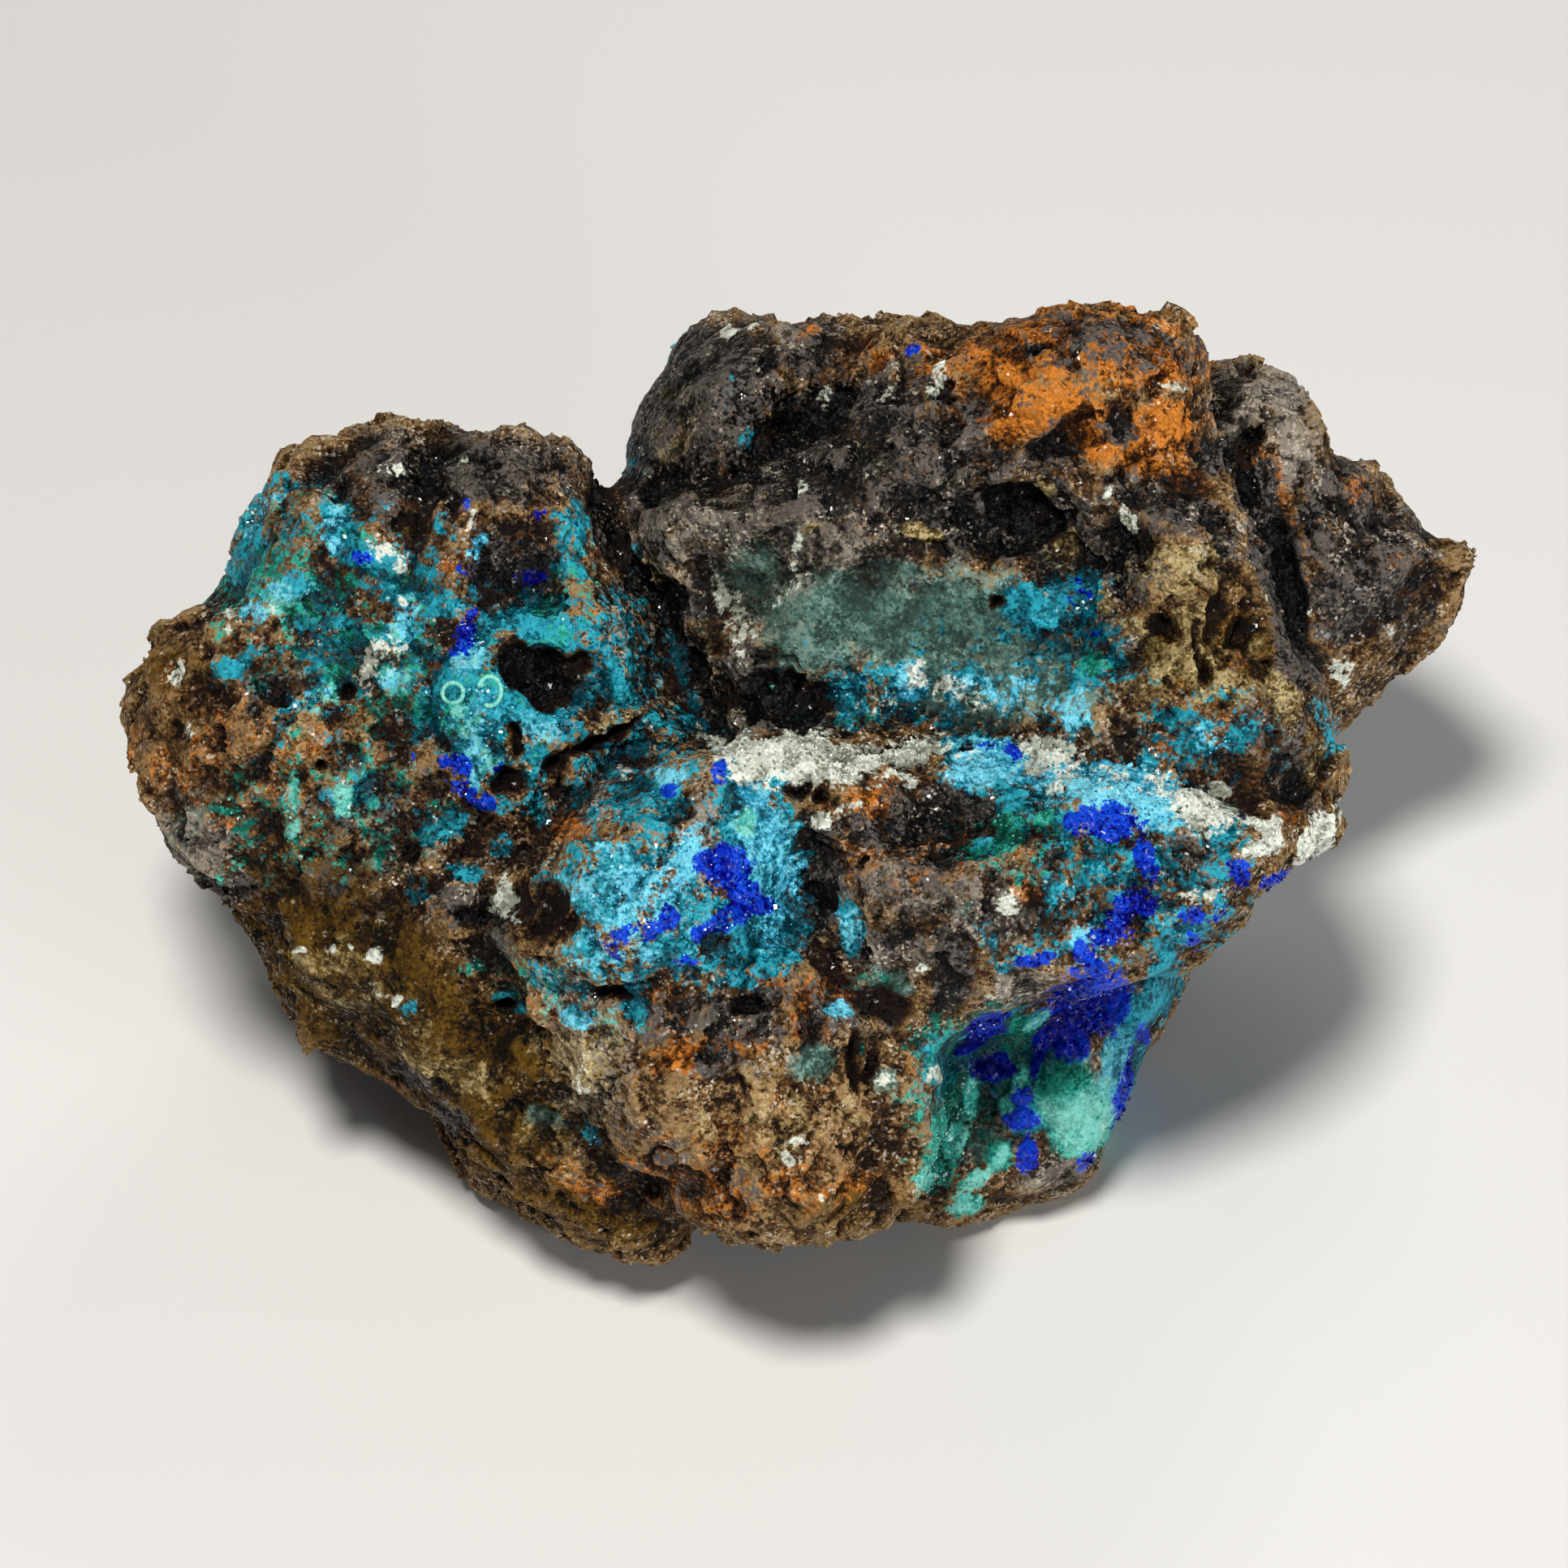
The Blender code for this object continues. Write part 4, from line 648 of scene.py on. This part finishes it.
def read_all(items, name, kind=float, width=1):
    """One value, or a row of width values, of each of a mesh's items."""
    values = np.empty(len(items) * width, dtype=kind)
    items.foreach_get(name, values)
    return values.reshape(-1, width) if width > 1 else values


def points_of(mesh):
    return read_all(mesh.vertices, "co", width=3)


def normals_of(mesh):
    return read_all(mesh.vertex_normals, "vector", width=3)


def corners_of(mesh):
    """The vertices at the three corners of each triangle, one after the other."""
    return read_all(mesh.loops, "vertex_index", kind=int)


def evened(points, edges, rounds):
    """The points after each has moved to the middle of its neighbours, round after round."""
    ends, others = np.concatenate((edges, edges[:, ::-1])).T
    neighbours = np.bincount(ends, minlength=len(points))
    for _ in range(rounds):
        totals = [np.bincount(ends, points[others, axis], len(points)) for axis in range(3)]
        points = np.stack(totals, axis=1) / neighbours[:, None]
    return points


def dips(points, normals, edges, rounds, depth):
    """How far each point lies below those round it, as a share of depth in millimetres."""
    middles = evened(points, edges, rounds)
    return np.einsum("ij,ij->i", middles - points, normals) / (depth * MM)


def relief(points, fields):
    """Height of the fine relief in millimetres, without the crusts."""
    swells = noise_of(points, SWELL_SIZE, SWELL_SHIFT) * SWELL_HEIGHT
    chips = sum(chips_of(points, size) * height for size, height in CHIP_LAYERS)
    crumbs = noise_of(points, CRUMB_SIZE, CRUMB_SHIFT) * CRUMB_HEIGHT
    holes = clipped(noise_of(points, HOLE_SIZE, HOLE_SHIFT) * HOLE_GAIN - HOLE_START) * HOLE_DEPTH
    crusted = clipped(fields["chrysocolla"] + fields["azurite"] + CALM_WASH * fields["wash"])
    calm = (1 - CALM_CRUSTS * crusted) * (1 - CALM_SMOOTH * fields["smooth"])
    return (swells + chips + crumbs - holes) * calm


def raised(points, normals, fields):
    """The points moved out by relief and crusts, and in at hollows, but not on the resting pads."""
    crust = sum(height * fields[mineral] for mineral, height in CRUST_HEIGHTS.items())
    sunk = sum(depth * fields[mineral] for mineral, depth in SUNK_DEPTHS.items())
    moved = points + normals * ((relief(points, fields) + crust - sunk) * MM)[:, None]
    on_pad = points[:, 2] < PAD_HEIGHT
    moved[on_pad] = points[on_pad]
    moved[:, 2] = np.maximum(moved[:, 2], 0.0)
    return moved


def give(mesh, name, values):
    made = mesh.attributes.new(name, "FLOAT", "POINT")
    made.data.foreach_set("value", values)


def crusted_rock():
    """The rock's skin with its relief, and each mineral's field at every point of it."""
    mesh = fine_skin()
    points, normals = points_of(mesh), normals_of(mesh)
    fields = mineral_fields(points, normals)
    points = raised(points, normals, fields)
    mesh.vertices.foreach_set("co", points.ravel())
    mesh.update()
    normals, edges = normals_of(mesh), np.array(mesh.edge_keys)
    # How low each point lies among its neighbours, which the finish paints as shade
    near = dips(points, normals, edges, *NEAR_DIP)
    wide = dips(points, normals, edges, *WIDE_DIP)
    fields["low"] = np.clip(near * NEAR_SHARE + wide, -1.0, 1.0)
    for name, field in fields.items():
        give(mesh, name, field)
    eased = fields["smooth"][corners_of(mesh)].reshape(-1, 3).mean(axis=1) > SMOOTH_SHADED
    mesh.polygons.foreach_set("use_smooth", eased)
    return set_out("crusted_rock", mesh), fields


def set_nodes(tree, kind, inputs=None, **settings):
    """Adds a node with the given settings, and gives its inputs their values or links."""
    added = tree.nodes.new(kind)
    for name, value in settings.items():
        setattr(added, name, value)
    for name, value in (inputs or {}).items():
        if isinstance(value, bpy.types.NodeSocket):
            tree.links.new(value, added.inputs[name])
        else:
            added.inputs[name].default_value = value
    return added


def sums(tree, operation, first, second=0.0, third=0.0, limited=False):
    """A Math node's result."""
    inputs = {0: first, 1: second, 2: third}
    added = set_nodes(tree, "ShaderNodeMath", inputs, operation=operation, use_clamp=limited)
    return added.outputs[0]


def blended(tree, share, first, second):
    """A colour between two colours."""
    inputs = {0: share, 6: first, 7: second}
    return set_nodes(tree, "ShaderNodeMix", inputs, data_type="RGBA").outputs[2]


def vectors(tree, operation, first, second):
    """A Vector Math node's outputs."""
    return set_nodes(tree, "ShaderNodeVectorMath", {0: first, 1: second}, operation=operation).outputs


def new_group(name, inputs, outputs):
    """A node group with the named inputs and outputs, and the sockets of its two end nodes."""
    group = bpy.data.node_groups.new(name, "ShaderNodeTree")
    for socket, (kind, value) in inputs.items():
        made = group.interface.new_socket(socket, in_out="INPUT", socket_type=kind)
        if value is not None:
            made.default_value = value
    for socket, kind in outputs.items():
        group.interface.new_socket(socket, in_out="OUTPUT", socket_type=kind)
    return group, group.nodes.new("NodeGroupInput").outputs, group.nodes.new("NodeGroupOutput").inputs


FLOAT, VECTOR, COLOUR = "NodeSocketFloat", "NodeSocketVector", "NodeSocketColor"


def patch_group():
    """Where a mineral lies: its field, broken up by a cloud into crisp ragged patches."""
    group, given, result = new_group("mineral patches", {
        "Field": (FLOAT, 0.5), "Cloud": (FLOAT, 0.5), "Speckle": (FLOAT, 0.5),
        "Ragged": (FLOAT, 2.0), "Crisp": (FLOAT, 6.0),
    }, {"Mask": FLOAT})
    broken = sums(group, "MULTIPLY_ADD", given["Speckle"], SPECKLE_SHARE, given["Cloud"])
    ragged = sums(group, "MULTIPLY", sums(group, "SUBTRACT", broken, CLOUD_MIDDLE), given["Ragged"])
    strong = sums(group, "MULTIPLY", given["Field"], FIELD_GAIN, limited=True)
    level = sums(group, "ADD", given["Field"], sums(group, "MULTIPLY", strong, ragged))
    level = sums(group, "SUBTRACT", level, 0.5)
    mask = sums(group, "MULTIPLY_ADD", level, given["Crisp"], 0.5, limited=True)
    group.links.new(mask, result["Mask"])
    return group


def tone_group():
    """A colour between three tones."""
    group, given, result = new_group("three tones", {
        "Value": (FLOAT, 0.5), "Dark": (COLOUR, None), "Mid": (COLOUR, None), "Light": (COLOUR, None),
    }, {"Color": COLOUR})
    lower = sums(group, "MULTIPLY", given["Value"], 2.0, limited=True)
    upper = sums(group, "MULTIPLY_ADD", given["Value"], 2.0, -1.0, limited=True)
    darker = blended(group, lower, given["Dark"], given["Mid"])
    group.links.new(blended(group, upper, darker, given["Light"]), result["Color"])
    return group


def grain_group():
    """Mineral grains: a random value for each, and a height that tilts each one its own way."""
    group, given, result = new_group("grains", {
        "Position": (VECTOR, None), "Size": (FLOAT, 0.4),
    }, {"Value": FLOAT, "Height": FLOAT})
    scale = sums(group, "DIVIDE", 1.0, given["Size"])
    cells = set_nodes(group, "ShaderNodeTexVoronoi", {"Vector": given["Position"], "Scale": scale})
    parts = set_nodes(group, "ShaderNodeSeparateColor", {"Color": cells.outputs["Color"]})
    group.links.new(parts.outputs[0], result["Value"])
    inside = vectors(group, "SUBTRACT", given["Position"], cells.outputs["Position"])[0]
    tilt = vectors(group, "SUBTRACT", cells.outputs["Color"], (0.5, 0.5, 0.5))[0]
    group.links.new(vectors(group, "DOT_PRODUCT", inside, tilt)["Value"], result["Height"])
    return group


PATCHES, THREE_TONES, GRAINS = patch_group(), tone_group(), grain_group()


def placed_group(tree, group, inputs):
    """A group placed in a material, with its inputs set: its outputs."""
    return set_nodes(tree, "ShaderNodeGroup", inputs, node_tree=group).outputs


def attribute(tree, name):
    return set_nodes(tree, "ShaderNodeAttribute", attribute_name=name).outputs["Fac"]


def weighed(tree, start, weights, patterns):
    """start and, times its weight, each named pattern or, where there is none, attribute."""
    for name, weight in weights.items():
        part = patterns[name] if name in patterns else attribute(tree, name)
        start = sums(tree, "MULTIPLY_ADD", part, weight, start)
    return start


def position_in_mm(tree):
    place = set_nodes(tree, "ShaderNodeTexCoord").outputs["Object"]
    scaled = set_nodes(tree, "ShaderNodeVectorMath", {0: place}, operation="SCALE")
    scaled.inputs["Scale"].default_value = 1 / MM
    return scaled.outputs[0]


def cloud_of(tree, place, size, detail):
    """Three separate clouds, whose features measure size millimetres."""
    inputs = {"Vector": place, "Scale": 1 / size, "Detail": detail, "Roughness": CLOUD_ROUGHNESS}
    made = set_nodes(tree, "ShaderNodeTexNoise", inputs)
    return set_nodes(tree, "ShaderNodeSeparateColor", {0: made.outputs["Color"]}).outputs


def toned(tree, value, tones):
    """The colour of a mineral where it is as light as value, from 0 to 1."""
    dark, mid, light = ((*tone, 1.0) for tone in TONES[tones])
    inputs = {"Value": value, "Dark": dark, "Mid": mid, "Light": light}
    return placed_group(tree, THREE_TONES, inputs)["Color"]


def new_finish(name):
    """A material, its node tree and its shader."""
    material = bpy.data.materials.new(name)
    material.use_nodes = True
    tree = material.node_tree
    return material, tree, tree.nodes["Principled BSDF"]


def mineral_patches(tree, clouds, speckles):
    """Where each crust lies, and where crusts are pale."""
    rough_ground = sums(tree, "MULTIPLY_ADD", attribute(tree, "smooth"), SMOOTH_RAGGED, 1.0)
    patches = {}
    for number, (mineral, ragged, crisp, _, _) in enumerate([*LAYERS, PALE_PLACES]):
        patches[mineral] = placed_group(tree, PATCHES, {
            "Field": attribute(tree, mineral), "Cloud": clouds[number % 3],
            "Speckle": speckles[(number + number // 3) % 3],
            "Ragged": sums(tree, "MULTIPLY", rough_ground, ragged), "Crisp": crisp,
        })["Mask"]
    return patches


def crust_colour(tree, mineral, use, values, pale):
    """A crust's own colour, everywhere."""
    if use != "deep and pale":
        return toned(tree, values[use], mineral)
    deep = toned(tree, values["calm"], "deep " + mineral)
    bright = toned(tree, values["creamy"], "pale " + mineral)
    return blended(tree, pale, deep, bright)


def painted_crusts(tree, patches, patterns):
    """The colour and the roughness of the rock with every crust on it, from the bottom up."""
    # The low and hollow weights darken the value as painted shade in dips and hollows
    value = weighed(tree, VALUE_START, VALUE_WEIGHTS, patterns)
    value = sums(tree, "ADD", value, limited=True)
    values = {"full": value}
    values["calm"] = sums(tree, "MULTIPLY_ADD", value, *CALM_RANGE)
    values["creamy"] = sums(tree, "MULTIPLY_ADD", value, *CREAMY_RANGE)
    # Pale specks, partly pale grains and partly painted glints, mixed into the colour
    specks_and_glints = weighed(tree, SPECKS_AND_GLINTS_START, SPECKS_AND_GLINTS_WEIGHTS, patterns)
    specks_and_glints = sums(tree, "MULTIPLY", specks_and_glints, SPECKS_AND_GLINTS_GAIN, limited=True)
    specks_and_glints = sums(tree, "MULTIPLY", specks_and_glints, MOST_SPECKS_AND_GLINTS)
    colour, roughness = toned(tree, value, "brown"), BARE_ROUGHNESS
    for mineral, _, _, rough, use in LAYERS:
        if mineral == "wash":
            colour = blended(tree, specks_and_glints, colour, toned(tree, value, "specks_and_glints"))
        mask = patches[mineral]
        layer = crust_colour(tree, mineral, use, values, patches["pale"])
        colour = blended(tree, mask, colour, layer)
        share = sums(tree, "SUBTRACT", rough, roughness)
        roughness = sums(tree, "MULTIPLY_ADD", mask, share, roughness)
    return colour, roughness


def rock_finish():
    """Brown rock and the crusts on it, each a layer of three tones, glittering grain by grain."""
    material, tree, shader = new_finish("crusted_rock")
    place = position_in_mm(tree)
    clouds = cloud_of(tree, place, CLOUD_SIZE, CLOUD_DETAIL)
    speckles = cloud_of(tree, place, SPECKLE_SIZE, SPECKLE_DETAIL)
    fine = placed_group(tree, GRAINS, {"Position": place, "Size": FINE_GRAIN})
    coarse = placed_group(tree, GRAINS, {"Position": place, "Size": COARSE_GRAIN})
    patches = mineral_patches(tree, clouds, speckles)
    patterns = {
        "cloud": clouds[0], "high cloud": clouds[2], "speckle": speckles[1],
        "fine grain": fine["Value"], "coarse grain": coarse["Value"], "pale patches": patches["pale"],
        "fine height": fine["Height"], "coarse height": coarse["Height"],
    }
    colour, roughness = painted_crusts(tree, patches, patterns)
    tree.links.new(colour, shader.inputs["Base Color"])
    tree.links.new(roughness, shader.inputs["Roughness"])
    shader.inputs["Specular IOR Level"].default_value = SPECULAR
    glint = sums(tree, "MULTIPLY_ADD", fine["Value"], GLINT_GAIN, GLINT_START, limited=True)
    off_wash = sums(tree, "SUBTRACT", MOST_GLINT, patches["wash"], limited=True)
    tree.links.new(sums(tree, "MULTIPLY", glint, off_wash), shader.inputs["Coat Weight"])
    shader.inputs["Coat Roughness"].default_value = GLINT_ROUGHNESS
    height = weighed(tree, 0.0, BUMP_HEIGHTS, patterns)
    inputs = {"Strength": BUMP_STRENGTH, "Distance": BUMP_DISTANCE, "Height": height}
    tree.links.new(set_nodes(tree, "ShaderNodeBump", inputs).outputs[0], shader.inputs["Normal"])
    return material


def crystal_finish(name):
    """A small growth's finish: each one has a shade of its own, with a little cloud in it."""
    tones, roughness, coat = GROWTH_FINISHES[name]
    material, tree, shader = new_finish(name)
    place = position_in_mm(tree)
    cloud = cloud_of(tree, place, CRYSTAL_CLOUD_SIZE, CRYSTAL_CLOUD_DETAIL)[0]
    value = weighed(tree, CRYSTAL_START, CRYSTAL_WEIGHTS, {"cloud": cloud})
    value = sums(tree, "ADD", value, limited=True)
    tree.links.new(toned(tree, value, tones), shader.inputs["Base Color"])
    smoothest = roughness - CRYSTAL_ROUGHNESS_RANGE / 2
    rough = sums(tree, "MULTIPLY_ADD", cloud, CRYSTAL_ROUGHNESS_RANGE, smoothest)
    tree.links.new(rough, shader.inputs["Roughness"])
    shader.inputs["Coat Weight"].default_value = coat
    return material


def shape_of(bm):
    """A finished small shape as its points and its triangles."""
    bmesh.ops.recalc_face_normals(bm, faces=bm.faces)
    bmesh.ops.triangulate(bm, faces=bm.faces)
    bm.verts.index_update()
    points = np.array([vert.co[:] for vert in bm.verts])
    faces = np.array([[vert.index for vert in face.verts] for face in bm.faces])
    bm.free()
    return points, faces


def pointed_prism(sides, length, taper, point=0.45):
    """A crystal that stands in the rock: a prism with a pointed top, about 1 across."""
    bm = bmesh.new()
    bmesh.ops.create_circle(bm, cap_ends=True, segments=sides, radius=0.5)
    grown = bmesh.ops.extrude_face_region(bm, geom=list(bm.faces))["geom"]
    corners = [item for item in grown if isinstance(item, bmesh.types.BMVert)]
    bmesh.ops.translate(bm, verts=corners, vec=(0, 0, length))
    bmesh.ops.scale(bm, verts=corners, vec=(taper, taper, 1))
    top = next(item for item in grown if isinstance(item, bmesh.types.BMFace))
    bmesh.ops.poke(bm, faces=[top], offset=point)
    return shape_of(bm)


def chip(seed, flatness, size=0.9, apart=4, uneven=0.45, middle=(-0.22, -0.22, -0.40)):
    """A broken chip of rock with flat faces and sharp corners, about 1 across."""
    bm = bmesh.new()
    bmesh.ops.create_cube(bm, size=size)
    for vert in bm.verts:
        vert.co += noise.cell_vector(vert.co * apart + Vector((seed, seed, seed))) * uneven
    bmesh.ops.translate(bm, verts=bm.verts, vec=middle)
    bmesh.ops.scale(bm, verts=bm.verts, vec=(1, 1, flatness))
    return shape_of(bm)


def blade(width, thickness, narrowed=0.55, thinned=0.8, slant=0.5):
    """A tabular crystal on edge, 1 long, with a narrower, slanted end."""
    bm = bmesh.new()
    bmesh.ops.create_cube(bm, size=1)
    bmesh.ops.scale(bm, verts=bm.verts, vec=(width, thickness, 1))
    ends = [vert for vert in bm.verts if vert.co.z > 0]
    bmesh.ops.scale(bm, verts=ends, vec=(narrowed, thinned, 1))
    for vert in ends:
        vert.co.z += vert.co.x * slant
    return shape_of(bm)


def bead(sides=8, rows=4):
    """A round bead, 1 across."""
    bm = bmesh.new()
    bmesh.ops.create_uvsphere(bm, u_segments=sides, v_segments=rows, radius=0.5)
    return shape_of(bm)


def turned_frames(normals, lean, rng):
    """For each normal, axes whose third leans randomly off it, turned at random about it."""
    third = normals + rng.normal(0, lean, normals.shape)
    third /= np.linalg.norm(third, axis=1)[:, None]
    first = np.cross(rng.normal(0, 1, normals.shape), third)
    first /= np.linalg.norm(first, axis=1)[:, None]
    return np.stack((first, np.cross(third, first), third), axis=2)


def scattered(name, shapes, places, axes, sizes, carried, finish):
    """Copies of small shapes set on the rock, joined in one piece that moves with it.

    carried holds values for each copy, by name, which all its points keep for the finish.
    """
    kinds = np.arange(len(places)) % len(shapes)
    all_points, all_faces, owners, count = [], [], [], 0
    for kind, (shape_points, shape_faces) in enumerate(shapes):
        chosen = np.flatnonzero(kinds == kind)
        sized = shape_points[None] * sizes[chosen, None, None] * MM
        moved = np.einsum("nij,npj->npi", axes[chosen], sized) + places[chosen, None]
        all_points.append(moved.reshape(-1, 3))
        starts = count + np.arange(len(chosen)) * len(shape_points)
        all_faces.append((shape_faces[None] + starts[:, None, None]).reshape(-1, 3))
        owners.append(np.repeat(chosen, len(shape_points)))
        count += len(chosen) * len(shape_points)
    points, owners = np.concatenate(all_points), np.concatenate(owners)
    points[:, 2] = np.maximum(points[:, 2], 0.0)
    mesh = bpy.data.meshes.new(name)
    mesh.from_pydata(points.tolist(), [], np.concatenate(all_faces).tolist())
    for value_name, values in carried.items():
        give(mesh, value_name, values[owners])
    if name in ROUND_GROWTHS:
        mesh.shade_smooth()
    mesh.materials.append(finish)
    piece = set_out(name, mesh)
    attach(piece, BODY)


def vertex_areas(mesh):
    """The area of skin that belongs to each vertex."""
    areas = read_all(mesh.polygons, "area")
    return np.bincount(corners_of(mesh), np.repeat(areas / 3, 3), len(mesh.vertices))


def well_inside(field, edge):
    """From 0 where twice the field is edge to 1 where it is 1 above that."""
    return clipped(field * 2 - edge)


def growth_chances(fields):
    """How likely each kind of small growth is at each point of the skin."""
    blue, teal = fields["azurite"], fields["chrysocolla"]
    green, white = fields["malachite"], fields["quartz"]
    calm = 1 - fields["smooth"]
    dull = calm * (fields["grey"] + fields["dark"] + LEAST_GLITTER)
    return {
        "rock_chips": calm * clipped(CHIP_CHANCE - teal - blue - white),
        "azurite_crystals": well_inside(blue, edge=0.9) * calm,
        "quartz_crystals": well_inside(white, edge=1.4),
        "chrysocolla_beads": well_inside(teal, edge=1.0) * fields["pale"] * calm,
        "malachite_beads": well_inside(green, edge=1.0) * calm,
        "glitter": dull * clipped(1 - fields["hollow"] - fields["wash"]),
    }


def growth_shapes():
    """The small shapes that each kind of growth is made of."""
    return {
        "rock_chips": [chip(seed, flatness=0.6) for seed in CHIP_SEEDS],
        "azurite_crystals": [
            blade(width=0.7, thickness=0.35), blade(width=0.5, thickness=0.5),
            pointed_prism(sides=4, length=0.5, taper=0.8),
        ],
        "quartz_crystals": [
            pointed_prism(sides=6, length=0.6, taper=0.9), pointed_prism(sides=6, length=0.3, taper=0.85),
        ],
        "chrysocolla_beads": [bead()],
        "malachite_beads": [bead()],
        "glitter": [chip(seed=3.3, flatness=0.15), chip(seed=8.8, flatness=0.2)],
    }


def small_growths(rock, fields, stone):
    """Crystals, beads and chips on the minerals that they belong to."""
    rng = np.random.default_rng(GROWTH_SEED)
    points, normals = points_of(rock.data), normals_of(rock.data)
    room = vertex_areas(rock.data) * (points[:, 2] > BARE_FOOT)
    shapes, chances = growth_shapes(), growth_chances(fields)
    for name, (most, smallest, largest, lean) in GROWTHS.items():
        share = chances[name] * room
        count = min(most, np.count_nonzero(share) // 2)
        picks = rng.choice(len(points), size=count, replace=False, p=share / share.sum())
        sizes = smallest + (largest - smallest) * rng.random(count) ** 2
        of_rock = name == "rock_chips"
        carried = {mineral: field[picks] for mineral, field in fields.items()} if of_rock else {}
        carried["shade"] = rng.random(count)
        axes = turned_frames(normals[picks], lean, rng)
        finish = stone if of_rock else crystal_finish(name)
        scattered(name, shapes[name], points[picks], axes, sizes, carried, finish)


def bead_rings(rock):
    """The rings of mint beads, laid on the left lobe."""
    rng = np.random.default_rng(RING_SEED)
    points, normals = points_of(rock.data), normals_of(rock.data)
    x, v = face_places(points)
    across, up, out = (np.array(axis) for axis in (ACROSS, UP_FACE, OUT_OF_FACE))
    hidden = normals @ out < FACING
    picks, places = [], []
    for ring_x, ring_v, half_width, half_height, first, last in RINGS:
        for turn in np.linspace(first, last, RING_BEADS):
            aim_x = ring_x + half_width * math.cos(turn)
            aim_v = ring_v + half_height * math.sin(turn)
            gap = np.hypot(x - aim_x, v - aim_v) + np.where(hidden, FAR, 0)
            pick = int(np.argmin(gap))
            shift = across * (aim_x - x[pick]) + up * (aim_v - v[pick])
            shift -= out * (normals[pick] @ shift) / (normals[pick] @ out)
            picks.append(pick)
            places.append(points[pick] + shift * MM)
    sizes = RING_SIZE + RING_SIZE_RANGE * rng.random(len(picks))
    axes = turned_frames(normals[picks], RING_LEAN, rng)
    shades = {"shade": RING_SHADE + RING_SHADE_RANGE * rng.random(len(picks))}
    finish = crystal_finish("mint_rings")
    scattered("mint_rings", [bead()], np.array(places), axes, sizes, shades, finish)


def pale_floor():
    """A plain pale floor under the rock."""
    bm = bmesh.new()
    bmesh.ops.create_grid(bm, x_segments=1, y_segments=1, size=FLOOR_SIZE / 2)
    mesh = mesh_of(bm, "floor")
    material, _, shader = new_finish("floor")
    shader.inputs["Base Color"].default_value = FLOOR_COLOUR
    shader.inputs["Roughness"].default_value = FLOOR_ROUGHNESS
    mesh.materials.append(material)
    floor = set_out("floor", mesh)


def softbox(name, spot, size, watts, colour):
    """A round soft light at a spot, aimed at the rock."""
    light = bpy.data.lights.new(name, "AREA")
    light.shape = "DISK"
    light.size = size
    light.energy = watts
    light.color = colour
    lamp = set_out(name, light)
    lamp.location = spot
    lamp.rotation_euler = (LIT_SPOT - lamp.location).to_track_quat("-Z", "Y").to_euler()


def studio():
    """Soft key light from above and a little in front, a weak fill, and a light from behind."""
    for name, settings in LIGHTS.items():
        softbox(name, *settings)
    world = bpy.data.worlds.new("studio")
    world.use_nodes = True
    sky = world.node_tree.nodes["Background"].inputs
    sky["Color"].default_value = SKY_COLOUR
    sky["Strength"].default_value = SKY_STRENGTH
    bpy.context.scene.world = world
    bpy.context.scene.view_settings.view_transform = "Standard"


def camera():
    """Square to the display face, at the distance where the picture holds PICTURE_WIDTH."""
    data = bpy.data.cameras.new("camera")
    data.sensor_width = SENSOR_WIDTH
    data.lens = SENSOR_WIDTH * VIEW_DISTANCE / PICTURE_WIDTH
    data.clip_start = CLIP_START
    made = set_out("camera", data)
    spot = FACE_ORIGIN + OUT_OF_FACE * (VIEW_DISTANCE + OUTLINE_DEPTH)
    spot += ACROSS * PICTURE_CENTRE[0] + UP_FACE * PICTURE_CENTRE[1]
    axes = Matrix((ACROSS, UP_FACE, OUT_OF_FACE)).transposed().to_4x4()
    made.matrix_world = Matrix.Translation(spot) @ axes
    bpy.context.scene.camera = made


rock, fields = crusted_rock()
stone = rock_finish()
rock.data.materials.append(stone)
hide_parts(NODE)
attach(rock, BODY)
small_growths(rock, fields, stone)
bead_rings(rock)
pale_floor()
studio()
camera()
